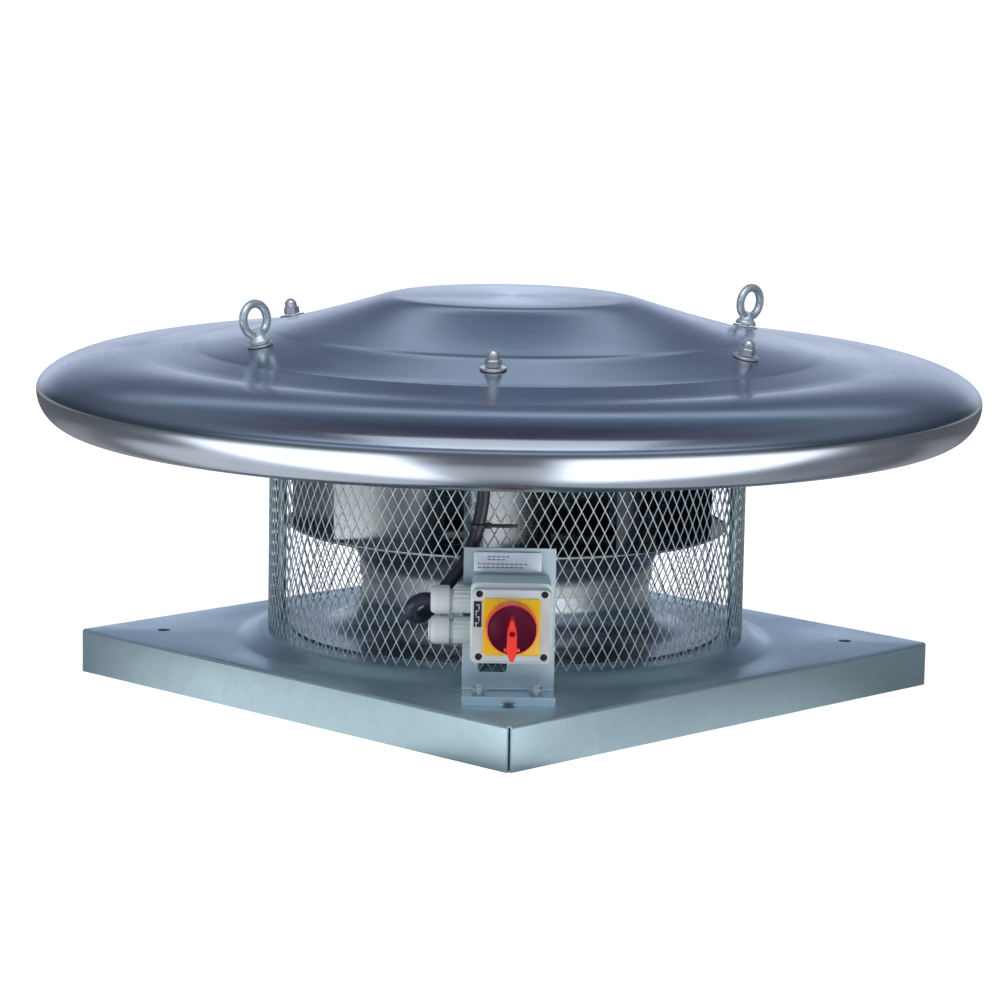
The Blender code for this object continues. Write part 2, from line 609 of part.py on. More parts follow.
def make_glands(side):
    """Two cable entries in the case's left wall, the lower one closed by a blanking plug."""
    wall = SWITCH_OFFSET - BOX_WIDTH / 2
    bore, neck, body, dome = 0.0064, 0.0080, 0.0118, 0.0124
    outline = [(bore, -0.004), (neck, -0.004), (neck, GAP), (body, GAP), (body, 0.0155), (0.0095, 0.0155)]
    outline += [(0.0095, 0.0190), (dome, 0.0190), (dome, 0.0330), (0.0108, 0.0355), (bore, 0.0355)]
    for name, height in zip(("upper_gland", "lower_gland"), GLAND_HEIGHTS):
        gland = turned(name, outline, GREY_PLASTIC, 16)
        gland.matrix_world = along((-1, 0, 0), (wall, -GLAND_DEPTH, height))
        place(side, gland)
    plug_line = [(0, 0.020), (bore - GAP, 0.020), (bore - GAP, 0.0358), (0.0090, 0.0358), (0.0085, 0.0375)]
    plug_line += [(0, 0.0375)]
    plug = turned("blanking_plug", plug_line, GREY_PLASTIC, 16, closed=False)
    plug.matrix_world = along((-1, 0, 0), (wall, -GLAND_DEPTH, GLAND_HEIGHTS[1]))
    place(side, plug)


# ---------------------------------------------------------------- motor cable
CABLE_ROUTE = (
    (-0.015, -0.112, 0.279),
    (-0.015, -0.140, 0.279),
    (-0.016, -0.166, 0.279),
    (-0.019, -0.195, 0.273),
    (-0.022, -0.220, 0.257),
    (-0.023, -0.231, 0.240),
    (-0.023, -0.232, 0.227),
    (-0.024, -0.232, 0.206),
    (-0.027, -0.232, 0.186),
    (-0.032, -0.232, 0.166),
    (-0.039, -0.2335, 0.150),
    (-0.050, -0.2355, 0.135),
    (-0.060, -0.2385, 0.122),
    (-0.068, -0.243, 0.110),
    (-0.077, -0.252, 0.104),
    (-0.0845, -0.262, 0.108),
    (-0.0835, -0.2675, 0.1175),
    (-0.076, -0.268, 0.1225),
    (-0.067, -0.268, 0.123),
    (-0.052, -0.268, 0.123),
)


def smooth_route(route, per_span):
    """Points on a Catmull-Rom curve through the route's points."""
    points = [Vector(point) for point in route]
    padded = [points[0] * 2 - points[1]] + points + [points[-1] * 2 - points[-2]]
    result = []
    for a, b, c, d in zip(padded, padded[1:], padded[2:], padded[3:]):
        for step in range(per_span):
            t = step / per_span
            bend = (2 * a - 5 * b + 4 * c - d) * t ** 2 + (3 * b - a - 3 * c + d) * t ** 3
            result.append((2 * b + (c - a) * t + bend) / 2)
    return result + [points[-1]]


def make_cable(side):
    points = smooth_route(CABLE_ROUTE, 2)
    curve = bpy.data.curves.new("motor_cable", "CURVE")
    curve.dimensions = "3D"
    curve.bevel_depth = CABLE_RADIUS
    curve.bevel_resolution = 2
    curve.use_fill_caps = True
    spline = curve.splines.new("POLY")
    spline.points.add(len(points) - 1)
    for slot, point in zip(spline.points, points):
        slot.co = (*point, 1.0)
    cable = bpy.data.objects.new("motor_cable", curve)
    bpy.context.scene.collection.objects.link(cable)
    curve.materials.append(finish("motor_cable", BLACK_PLASTIC))
    tie = ring("cable_tie", CABLE_RADIUS + 0.0006, CABLE_RADIUS + 0.0018, -0.0018, 0.0018, BLACK_PLASTIC, 20)
    join(tie, block("tie_head", (0.005, 0.004, 0.005), (0.0090, 0, 0)))
    join(tie, block("tie_tail", (0.026, 0.0012, 0.0034), (0.0220, 0, 0)))
    tie.location = (-0.0278, -0.232, 0.1818)
    place(side, cable, tie)


def make_switch_side():
    side = spoke("switch_side", 0)
    make_terminal_box(side)
    make_bracket(side)
    make_glands(side)
    make_cable(side)
    face_spot = (SWITCH_OFFSET, -BRACKET_BACK - SHEET, SWITCH_HEIGHT)
    face = empty("switch_face", face_spot, (90, 0, 0), side)
    make_switch_case(face)
    axis = empty("switch_axis", (0, 0, 0), (0, 0, 0), face)
    make_handle(axis)


def main():
    for thing in list(bpy.data.objects):
        bpy.data.objects.remove(thing)
    make_base()
    make_inlet_cone()
    make_guard()
    make_legs()
    make_motor_plate()
    make_cowl()
    make_fixings()
    axis = empty("fan_axis")
    make_impeller(axis)
    make_rotating_motor_parts(axis)
    make_motor_body()
    make_switch_side()
    for thing in bpy.data.objects:
        if thing.type == "MESH":
            thing.data.shade_smooth()
            thing.data.set_sharp_from_angle(angle=SHARP_ANGLE)


main()
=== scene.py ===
"""Looks of the roof exhaust fan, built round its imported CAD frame.

Positions are in the row frame, in metres. "Side" space has -Y pointing out of the base corner that
carries the switch, and "face" space has Z pointing out of the switch's bracket and Y up.
"""
from math import atan, copysign, cos, radians, remainder, sin, sqrt, tau

import bmesh
import bpy
from mathutils import Matrix, Vector


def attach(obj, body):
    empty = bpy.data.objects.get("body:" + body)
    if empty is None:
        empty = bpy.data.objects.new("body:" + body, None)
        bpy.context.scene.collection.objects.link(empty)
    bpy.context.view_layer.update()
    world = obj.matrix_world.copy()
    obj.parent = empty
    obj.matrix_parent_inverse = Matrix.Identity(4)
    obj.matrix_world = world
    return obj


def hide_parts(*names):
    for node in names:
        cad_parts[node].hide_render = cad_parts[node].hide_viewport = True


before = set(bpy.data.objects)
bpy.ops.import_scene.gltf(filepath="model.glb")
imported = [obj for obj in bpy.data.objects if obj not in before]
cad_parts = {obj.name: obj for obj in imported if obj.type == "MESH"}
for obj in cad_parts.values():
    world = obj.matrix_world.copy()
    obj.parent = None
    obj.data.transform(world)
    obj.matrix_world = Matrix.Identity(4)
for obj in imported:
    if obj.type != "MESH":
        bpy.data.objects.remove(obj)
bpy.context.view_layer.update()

shift = Matrix.Translation


def spin(angle, axis="Z"):
    return Matrix.Rotation(angle, 4, axis)


SIDE = spin(radians(45))
FACE = SIDE @ shift((0.0016, -0.2523, 0.1076)) @ spin(radians(90), "X")

# The cowl's band between its two creases, given as (radius, height), and the fixings on it.
INNER_CREASE = (0.222, 0.327)
OUTER_CREASE = (0.292, 0.312)
BAND_SLOPE = (INNER_CREASE[1] - OUTER_CREASE[1]) / (OUTER_CREASE[0] - INNER_CREASE[0])
FIXING_RADIUS = 0.25
FIRST_FIXING = 41.0  # bearing in degrees
EYE_FIXINGS = (2, 5)

BASE_TOP = 0.04
RING_TOP = 0.0503  # underside of what stands on the base's pressed ring
SHEET = 0.002
M8_HEXAGON = 0.00745  # radius over the corners
PILOT = 0.006  # radius of the hole for the switch's spindle
SCREW_SPOTS = [(sx * 0.0278, sy * 0.0272) for sx in (-1, 1) for sy in (-1, 1)]
CORNERS = ((1, 1), (-1, 1), (-1, -1), (1, -1))
MERGE = 1e-7  # points nearer than this are one

# The photograph's viewing angle, in degrees, and its framing.
VIEW_SIDE = 44.33  # bearing from the -Y axis
VIEW_HEIGHT = 8.93
VIEW_ROLL = 1.05
VIEW_DISTANCE = 3.468
VIEW_LENS = 134.35
VIEW_CENTRE = Vector((-0.00475, -0.00475, 0.168))
FAN_MIDDLE = Vector((0, 0, 0.15))  # where the lights point

# Strength of the floor's own light, to the camera and to dim reflections.
WHITE_FLOOR = 0.86
DIM_FLOOR = 0.12


# ---- outlines
def arc(centre, radii, start, end, count):
    angles = [radians(start + (end - start) * i / count) for i in range(count + 1)]
    return [(centre[0] + radii[0] * cos(a), centre[1] + radii[1] * sin(a)) for a in angles]


def soft(points, radius, steps=4, closed=True):
    """The outline with rounded corners. A point's own radius may be its third number."""
    result = []
    count = len(points)
    for i, point in enumerate(points):
        here = Vector(point[:2])
        if not closed and i in (0, count - 1):
            result.append(tuple(here))
            continue
        size = point[2] if len(point) > 2 else radius
        before = Vector(points[i - 1][:2])
        after = Vector(points[(i + 1) % count][:2])
        reach = min(size, (before - here).length * 0.48, (after - here).length * 0.48)
        if reach < 10 * MERGE:
            result.append(tuple(here))
            continue
        start = here + (before - here).normalized() * reach
        end = here + (after - here).normalized() * reach
        for k in range(steps + 1):
            t = k / steps
            spot = start * (1 - t) ** 2 + here * (2 * t * (1 - t)) + end * t ** 2
            result.append(tuple(spot))
    return result


def round_box(width, height, corner, steps=5):
    """A function that gives a rounded rectangle's outline, drawn in by an inset."""
    least = 0.00015

    def outline(inset):
        points = []
        radius = max(corner - inset, least)
        for i, (sx, sy) in enumerate(CORNERS):
            centre = (sx * (width / 2 - inset - radius), sy * (height / 2 - inset - radius))
            points += arc(centre, (radius, radius), 90 * i, 90 * i + 90, steps)
        return points
    return outline


def hexagon(radius):
    def outline(inset):
        return arc((0, 0), (radius - inset, radius - inset), 0, 300, 5)
    return outline


def thick(line, thickness):
    """A closed outline from an open line and the same line moved to its right."""
    moved = []
    for i, point in enumerate(line):
        before = Vector(line[max(i - 1, 0)])
        after = Vector(line[min(i + 1, len(line) - 1)])
        along = (after - before).normalized()
        moved.append((point[0] + along.y * thickness, point[1] - along.x * thickness))
    return list(line) + moved[::-1]


# ---- shapes
class Shape:
    """Vertices and faces of one piece, with a material number for each face."""

    def __init__(self):
        self.points = []
        self.faces = []
        self.marks = []

    def add(self, points, faces, matrix=None, mark=0):
        offset = len(self.points)
        for point in points:
            self.points.append(matrix @ Vector(point) if matrix else Vector(point))
        self.faces += [[i + offset for i in face] for face in faces]
        self.marks += [mark] * len(faces)
        return self

    def lathe(self, outline, segments=64, matrix=None, closed=True, mark=0):
        """Turns an outline of (radius, height) points round Z."""
        points, rows = [], []
        for radius, height in outline:
            if radius < MERGE:
                rows.append([len(points)] * segments)
                points.append((0, 0, height))
                continue
            rows.append(list(range(len(points), len(points) + segments)))
            for k in range(segments):
                angle = tau * k / segments
                points.append((radius * cos(angle), radius * sin(angle), height))
        faces = []
        for low, high in zip(rows, rows[1:] + rows[:1] if closed else rows[1:]):
            for k in range(segments):
                n = (k + 1) % segments
                face = list(dict.fromkeys((low[k], low[n], high[n], high[k])))
                if len(face) > 2:
                    faces.append(face)
        return self.add(points, faces, matrix, mark)

    def stack(self, outline, levels, matrix=None, mark=0):
        """Joins an outline's copies at each (inset, height), with a face at both ends."""
        points = []
        for inset, height in levels:
            points += [(x, y, height) for x, y in outline(inset)]
        count = len(points) // len(levels)
        faces = bands(count, len(levels))
        faces.append(list(range(count))[::-1])
        faces.append(list(range(len(points) - count, len(points))))
        return self.add(points, faces, matrix, mark)

    def slab(self, outline, bottom, top, edge=0.0005, matrix=None, mark=0, both=True):
        """A plate from an outline, with its rims rounded."""
        bevel = edge * 0.3
        levels = [(edge, bottom), (bevel, bottom + bevel), (0, bottom + edge)] if both else [(0, bottom)]
        levels += [(0, top - edge), (bevel, top - bevel), (edge, top)]
        return self.stack(outline, levels, matrix, mark)

    def box(self, size, centre, edge=0.0004, matrix=None, mark=0):
        spot = shift(centre)
        outline = round_box(size[0], size[1], edge * 1.5, 2)
        return self.slab(outline, -size[2] / 2, size[2] / 2, edge, matrix @ spot if matrix else spot, mark)


def add_object(name, data):
    thing = bpy.data.objects.new(name, data)
    bpy.context.scene.collection.objects.link(thing)
    return thing


def solid_mesh(name, shape, matrix=None):
    """A mesh of the shape, with doubled points merged and its faces turned outward."""
    mesh = bpy.data.meshes.new(name)
    mesh.from_pydata([tuple(point) for point in shape.points], [], shape.faces)
    if matrix:
        mesh.transform(matrix)
    clean = bmesh.new()
    clean.from_mesh(mesh)
    bmesh.ops.remove_doubles(clean, verts=clean.verts, dist=MERGE)
    bmesh.ops.recalc_face_normals(clean, faces=clean.faces)
    clean.to_mesh(mesh)
    clean.free()
    return mesh


def piece(name, shape, materials, node=None, smooth=35.0, matrix=None, body="frame"):
    """Makes an object from a shape, on a body, standing for a CAD node.

    Its slot, unless another is given, is named as its first material. The CAD's own materials hold
    The CAD's own materials hold the plain names, so Blender adds a number to this one's.
    """
    materials = materials if isinstance(materials, list) else [materials]
    mesh = solid_mesh(name, shape, matrix)
    if len(mesh.polygons) == len(shape.marks):
        mesh.polygons.foreach_set("material_index", shape.marks)
    thing = add_object(name, mesh)
    for material in materials:
        mesh.materials.append(material)
    mesh.shade_smooth()
    if smooth:
        mesh.set_sharp_from_angle(angle=radians(smooth))
    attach(thing, body)
    if node:
        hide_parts(node)
    return thing


def along(direction, origin):
    """A frame at the origin with its Z along the direction."""
    turn = Vector((0, 0, 1)).rotation_difference(Vector(direction)).to_matrix().to_4x4()
    return shift(origin) @ turn


def bake(thing, cutters=()):
    """Applies the object's modifiers, and removes the cutters they used."""
    bpy.context.view_layer.update()
    graph = bpy.context.evaluated_depsgraph_get()
    mesh = bpy.data.meshes.new_from_object(thing.evaluated_get(graph))
    thing.modifiers.clear()
    thing.data = mesh
    for cutter in cutters:
        bpy.data.objects.remove(cutter)


def pierce(thing, tools, angle=35.0):
    """Cuts shapes out of a piece."""
    cutters = []
    for number, tool in enumerate(tools):
        cutters.append(add_object(f"cutter_{number}", solid_mesh("cutter", tool)))
        cut = thing.modifiers.new("cut", "BOOLEAN")
        cut.object = cutters[-1]
        cut.operation = "DIFFERENCE"
        cut.solver = "EXACT"
    bake(thing, cutters)
    thing.data.shade_smooth()
    thing.data.set_sharp_from_angle(angle=radians(angle))


def ease_edges(thing, width):
    edge = thing.modifiers.new("edge", "BEVEL")
    edge.width = width
    edge.segments = 2
    edge.limit_method = "ANGLE"
    edge.angle_limit = radians(50)


def bands(count, loops):
    """Quads between neighbouring closed loops of points."""
    return [
        [low + k, low + (k + 1) % count, low + count + (k + 1) % count, low + count + k]
        for low in range(0, (loops - 1) * count, count) for k in range(count)
    ]


def rod(radius, bottom, top):
    return [(0, bottom), (radius, bottom), (radius, top), (0, top)]


# ---- materials
def add_node(tree, kind, values=(), **settings):
    """A shader node with its settings and the values on its inputs."""
    node = tree.nodes.new(f"ShaderNode{kind}")
    for key, value in settings.items():
        setattr(node, key, value)
    for socket, value in dict(values).items():
        node.inputs[socket].default_value = value
    return node


def link(tree, source, socket, target, name):
    tree.links.new(source.outputs[socket], target.inputs[name])


def new_material(name, colour, metallic, roughness, **sockets):
    material = bpy.data.materials.new(name)
    material.use_nodes = True
    shader = material.node_tree.nodes["Principled BSDF"]
    shader.inputs["Base Color"].default_value = (*colour, 1)
    shader.inputs["Metallic"].default_value = metallic
    shader.inputs["Roughness"].default_value = roughness
    for key, value in sockets.items():
        shader.inputs[key.replace("_", " ")].default_value = value
    return material, material.node_tree, shader


def coordinates(tree):
    mapping = add_node(tree, "Mapping")
    link(tree, add_node(tree, "TexCoord"), "Object", mapping, "Vector")
    return mapping


def noise_node(tree, place, scale, detail=3.0, rough=0.5):
    node = add_node(tree, "TexNoise", {"Scale": scale, "Detail": detail, "Roughness": rough})
    link(tree, place, "Vector", node, "Vector")
    return node


def spread(tree, source, socket, low, high, span=(0.3, 0.7)):
    """Maps a texture's value to a range."""
    limits = {"From Min": span[0], "From Max": span[1], "To Min": low, "To Max": high}
    node = add_node(tree, "MapRange", limits)
    link(tree, source, socket, node, "Value")
    return node


def ramp(tree, source, socket, stops):
    """Maps a value to colours, each given as (position, colour)."""
    node = add_node(tree, "ValToRGB")
    while len(node.color_ramp.elements) < len(stops):
        node.color_ramp.elements.new(0.5)
    for element, (position, colour) in zip(node.color_ramp.elements, stops):
        element.position = position
        element.color = (*colour, 1)
    link(tree, source, socket, node, "Fac")
    return node


def bump(tree, source, shader, strength, distance):
    node = add_node(tree, "Bump", {"Strength": strength, "Distance": distance})
    link(tree, source, "Fac", node, "Height")
    link(tree, node, "Normal", shader, "Normal")


def vary_colour(tree, shader, source, socket, colour, low, high, span=(0.3, 0.7)):
    """Lets a texture darken and lighten the base colour by two factors."""
    dark, light = (tuple(min(channel * factor, 1.0) for channel in colour) for factor in (low, high))
    tone = ramp(tree, source, socket, ((span[0], dark), (span[1], light)))
    link(tree, tone, "Color", shader, "Base Color")


def vary_roughness(tree, shader, source, socket, roughness, low, high):
    rough = spread(tree, source, socket, roughness * low, roughness * high)
    link(tree, rough, "Result", shader, "Roughness")


def sheet_metal(name, colour, roughness, spangle=110.0, contrast=0.03, metallic=1.0):
    """Zinc-coated sheet: crystal spangle, faint clouding and fine scuffs."""
    material, tree, shader = new_material(name, colour, metallic, roughness)
    place = coordinates(tree)
    cells = add_node(tree, "TexVoronoi", {"Scale": spangle, "Randomness": 1.0})
    warp = noise_node(tree, place, 60.0, 2.0)
    mix = add_node(tree, "Mix", {"Factor": 0.02}, data_type="VECTOR")
    link(tree, place, "Vector", mix, 4)
    link(tree, warp, "Color", mix, 5)
    link(tree, mix, 1, cells, "Vector")
    vary_colour(tree, shader, cells, "Color", colour, 1 - contrast, 1 + contrast, (0.1, 0.9))
    cloud = noise_node(tree, place, 9.0, 4.0)
    vary_roughness(tree, shader, cloud, "Fac", roughness, 0.82, 1.25)
    bump(tree, noise_node(tree, place, 700.0, 2.0), shader, 0.1, 0.0004)
    return material


def spun_metal(name, colour, roughness, anisotropy=0.55, rings=420.0):
    """Aluminium turned on a lathe: fine rings round Z, with faint clouding."""
    material, tree, shader = new_material(name, colour, 1.0, roughness, Anisotropic=anisotropy)
    tangent = add_node(tree, "Tangent", direction_type="RADIAL", axis="Z")
    link(tree, tangent, "Tangent", shader, "Tangent")
    place = coordinates(tree)
    flat = add_node(tree, "VectorMath", {1: (1, 1, 0)}, operation="MULTIPLY")
    link(tree, place, "Vector", flat, 0)
    radius = add_node(tree, "VectorMath", operation="LENGTH")
    link(tree, flat, "Vector", radius, 0)
    split = add_node(tree, "SeparateXYZ")
    link(tree, place, "Vector", split, "Vector")
    join = add_node(tree, "CombineXYZ")
    link(tree, radius, "Value", join, "X")
    link(tree, split, "Z", join, "Y")
    lines = noise_node(tree, join, rings, 4.0)
    cloud = noise_node(tree, place, 7.0, 5.0, 0.6)
    mix = add_node(tree, "Math", {1: 0.35}, operation="MULTIPLY_ADD")
    link(tree, lines, "Fac", mix, 0)
    link(tree, spread(tree, cloud, "Fac", 0.1, 0.55), "Result", mix, 2)
    vary_colour(tree, shader, mix, "Value", colour, 0.93, 1.06, (0.25, 0.75))
    vary_roughness(tree, shader, mix, "Value", roughness, 0.85, 1.2)
    bump(tree, lines, shader, 0.06, 0.0004)
    return material


def plain_metal(name, colour, roughness, grain=400.0, contrast=0.08, metallic=1.0):
    """Drawn, cast or plated metal with a fine grain."""
    material, tree, shader = new_material(name, colour, metallic, roughness)
    grainy = noise_node(tree, coordinates(tree), grain)
    vary_colour(tree, shader, grainy, "Fac", colour, 1 - contrast, 1 + contrast)
    vary_roughness(tree, shader, grainy, "Fac", roughness, 0.8, 1.25)
    bump(tree, grainy, shader, 0.08, 0.0003)
    return material


def coated(name, colour, roughness, grain=900.0, depth=0.12, contrast=0.05, **sockets):
    """Plastic, rubber or paint with a moulded grain."""
    material, tree, shader = new_material(name, colour, 0.0, roughness, **sockets)
    place = coordinates(tree)
    grainy = noise_node(tree, place, grain, 2.0)
    cloud = noise_node(tree, place, 25.0)
    vary_colour(tree, shader, cloud, "Fac", colour, 1 - contrast, 1 + contrast)
    vary_roughness(tree, shader, cloud, "Fac", roughness, 0.9, 1.12)
    bump(tree, grainy, shader, depth, 0.0003)
    return material


COWL = spun_metal("spun_aluminium", (0.42, 0.47, 0.54), 0.2)
ZINC_SHEET = sheet_metal("galvanised_sheet", (0.5, 0.67, 0.73), 0.3, metallic=0.8)
BRACKET = sheet_metal("bracket_zinc", (0.58, 0.71, 0.77), 0.28, metallic=0.8)
CONE = sheet_metal("cone_sheet", (0.4, 0.45, 0.49), 0.22, 90.0, 0.05)
MESH = plain_metal("expanded_metal", (0.52, 0.61, 0.66), 0.38, metallic=0.7)
WHEEL = spun_metal("wheel_aluminium", (0.35, 0.37, 0.38), 0.28, 0.3)
STAINLESS = plain_metal("stainless_steel", (0.78, 0.79, 0.81), 0.14, metallic=0.75)
ZINC = plain_metal("zinc_plate", (0.78, 0.86, 0.89), 0.24, 500.0, metallic=0.65)
STEEL = plain_metal("ground_steel", (0.5, 0.5, 0.52), 0.25)
CORE = plain_metal("core_steel", (0.28, 0.28, 0.3), 0.45)
COPPER = plain_metal("copper_winding", (0.7, 0.32, 0.16), 0.35, 900.0, 0.2)
MOTOR = coated("motor_paint", (0.1, 0.11, 0.12), 0.42, 300.0, 0.15)
GREY = coated("pale_grey_plastic", (0.6, 0.71, 0.71), 0.42)
LID_GREY = coated("lid_grey_plastic", (0.52, 0.57, 0.57), 0.38)
YELLOW = coated("yellow_plastic", (0.78, 0.46, 0.0), 0.32, 700.0, 0.05)
RED = coated("red_plastic", (0.78, 0.03, 0.02), 0.24, 700.0, 0.05, Coat_Weight=0.4)
CRIMSON = coated(
    "crimson_plastic", (0.085, 0.001, 0.022), 0.34, 700.0, 0.05, Specular_IOR_Level=0.25)
BLACK = coated("black_plastic", (0.012, 0.012, 0.016), 0.38)
SHEATH = coated("cable_sheath", (0.012, 0.014, 0.03), 0.34, 500.0, 0.08)
LABEL = plain_metal("label_foil", (0.66, 0.72, 0.8), 0.34, 120.0, 0.04, metallic=0.4)
INK = coated("label_ink", (0.1, 0.12, 0.18), 0.5)


# ---- cowl
def cowl_profile():
    """The cowl's outer face, from its centre to its lip."""
    line = [(0, 0.359), (0.06, 0.359), (0.108, 0.3588)]
    line += [(0.112, 0.3583), (0.116, 0.3575), (0.122, 0.356)]
    line += arc_between((0.122, 0.356), (0.216, 0.3289), 10, 0.0008)
    line += [(0.219, 0.3281), (0.2215, 0.3272), (0.2245, 0.3264)]
    line += [(0.2245 + 0.0645 * k / 6, 0.3264 - 0.0645 * k / 6 * BAND_SLOPE) for k in range(1, 7)]
    line += [(0.2915, 0.31195), (0.2935, 0.3114), (0.297, 0.3109), (0.31, 0.3091), (0.324, 0.3073)]
    line += arc((0.338, 0.272), (0.0965, 0.0335), 90, 0, 26)
    line += arc((0.4, 0.272), (0.0345, 0.034), -6, -84, 14)
    line += [(0.4, 0.238)]
    return line


def arc_between(start, end, count, sag):
    """A slightly hollow line from one point to the next."""
    points = []
    for k in range(1, count + 1):
        t = k / count
        drop = sag * 4 * t * (1 - t)
        points.append((start[0] + (end[0] - start[0]) * t, start[1] + (end[1] - start[1]) * t - drop))
    return points


def make_cowl():
    outer = cowl_profile()
    inner = thick(outer, SHEET)[len(outer):]
    inner[-1] = (0, 0.357)
    bead = arc((0.3995, 0.2395), (0.0015, 0.0015), -90, -200, 4)
    shape = Shape().lathe(outer[:-1] + bead + inner[2:], 288)
    piece("cowl_shell", shape, COWL, "cowl", 60)


def fixing_matrix(index):
    """A frame on the cowl's band, with Z square to it."""
    bearing = radians(FIRST_FIXING + 60 * index)
    height = INNER_CREASE[1] - BAND_SLOPE * (FIXING_RADIUS - INNER_CREASE[0])
    spot = shift((0, -FIXING_RADIUS, height))
    return spin(bearing) @ spot @ spin(atan(BAND_SLOPE), "X")


def torus(major, minor, segments, sides):
    points, faces = [], []
    for k in range(segments):
        angle = radians(360.0 * k / segments)
        for j in range(sides):
            out = major + minor * cos(tau * j / sides)
            points.append((out * cos(angle), out * sin(angle), minor * sin(tau * j / sides)))
            n, m = (k + 1) % segments, (j + 1) % sides
            faces.append([k * sides + j, n * sides + j, n * sides + m, k * sides + m])
    return points, faces


def make_fixings():
    eyes = nuts = 0
    for index in range(6):
        spot = fixing_matrix(index)
        washer = soft([(0.0043, 0.0003), (0.0119, 0.0003), (0.0119, 0.0021), (0.0043, 0.0021)], 0.0005, 3)
        number = index + 1
        piece(f"fixing_washer_{number}", Shape().lathe(washer, 48, spot), STAINLESS, f"cowl_washer_{number}")
        shape = Shape()
        if index in EYE_FIXINGS:
            eyes += 1
            collar = [(0, 0.0026), (0.0099, 0.0026), (0.0099, 0.0056, 0.001), (0.007, 0.0085, 0.003)]
            collar += [(0.005, 0.0135, 0.003), (0.0052, 0.0155), (0, 0.0155)]
            shape.lathe(soft(collar, 0.0006, 4, False), 40, spot)
            turn = spin(-radians(FIRST_FIXING + 120))
            upright = shift((0, 0, 0.0245)) @ spin(radians(90), "Y")
            shape.add(*torus(0.014, 0.0039, 64, 24), spot @ turn @ upright)
            thing = piece(f"eye_nut_{eyes}", shape, ZINC, f"lifting_eye_{eyes}")
            weld = thing.modifiers.new("blend", "REMESH")
            weld.mode = "VOXEL"
            weld.voxel_size = 0.00055
            bake(thing)
            ease = thing.modifiers.new("ease", "SMOOTH")
            ease.factor = 0.5
            ease.iterations = 6
            bake(thing)
            thing.data.shade_smooth()
        else:
            nuts += 1
            levels = [(0.0006, 0.0026), (0, 0.0031), (0, 0.0086), (0.0007, 0.0091)]
            shape.stack(hexagon(M8_HEXAGON), levels, spot)
            dome = [(0.0063, 0.0088), (0.006, 0.0092), (0.0058, 0.0115)]
            dome += arc((0, 0.0115), (0.0058, 0.006), 8, 90, 12)
            dome[-1] = (0, 0.0175)
            shape.lathe(dome, 48, spot, closed=False)
            piece(f"dome_nut_{nuts}", shape, STAINLESS, f"cap_nut_{nuts}", 30)


# ---- base, guard and motor deck
def make_base():
    """Folded sheet: a pressed ring, a flat top, round folds and four skirts that part at the corners."""
    segments, rows = 192, 7
    reach = 0.277  # where the flat top ends and the fold begins
    fold = gap = 0.003
    flat_from = 0.264
    ring = [(0.172, 0.05), (0.224, 0.05), (0.2275, 0.0497), (0.2305, 0.0489), (0.233, 0.0478)]
    ring += [(0.24, 0.0438), (0.2425, 0.0425), (0.245, 0.0414), (0.2475, 0.0405), (0.25, 0.0401)]
    ring += [(0.252, BASE_TOP), (flat_from, BASE_TOP)]
    shape = Shape()
    shape.lathe(ring, segments, closed=False)
    rim, square = [], []
    for k in range(segments):
        angle = tau * k / segments
        x, y = cos(angle), sin(angle)
        scale = reach / max(abs(x), abs(y))
        rim.append((flat_from * x, flat_from * y, BASE_TOP))
        square.append((scale * x, scale * y, BASE_TOP))
    shape.add(rim + square, bands(segments, 2))
    for side in range(4):
        turn = spin(radians(90 * side))
        strip = [point for point in square if point[1] < -reach + 1e-6]
        strip.sort()
        points = []
        for row in range(rows):
            angle = radians(90 * row / (rows - 1))
            out = reach + fold * sin(angle)
            height = BASE_TOP - fold + fold * cos(angle)
            stretch = (out - gap * sin(angle)) / reach
            points += [(x * stretch, -out, height) for x, _, _ in strip]
        points += [(x * (reach + fold - gap) / reach, -reach - fold, 0.0) for x, _, _ in strip]
        count = len(strip)
        faces = []
        for row in range(rows):
            for k in range(count - 1):
                a = row * count + k
                faces.append([a, a + 1, a + 1 + count, a + count])
        shape.add(points, faces, turn)
    thing = piece("base_sheet", shape, ZINC_SHEET, "base_plate", 40)
    if sum(face.normal.z * face.area for face in thing.data.polygons) < 0:
        thing.data.flip_normals()
    solid = thing.modifiers.new("sheet", "SOLIDIFY")
    solid.thickness = SHEET
    solid.offset = -1
    holes = []
    for sx, sy in CORNERS:
        spot = shift((0.225 * sx, 0.225 * sy, 0))
        holes.append(Shape().lathe(rod(0.006, 0.03, 0.05), 40, spot))
    pierce(thing, holes, 40)


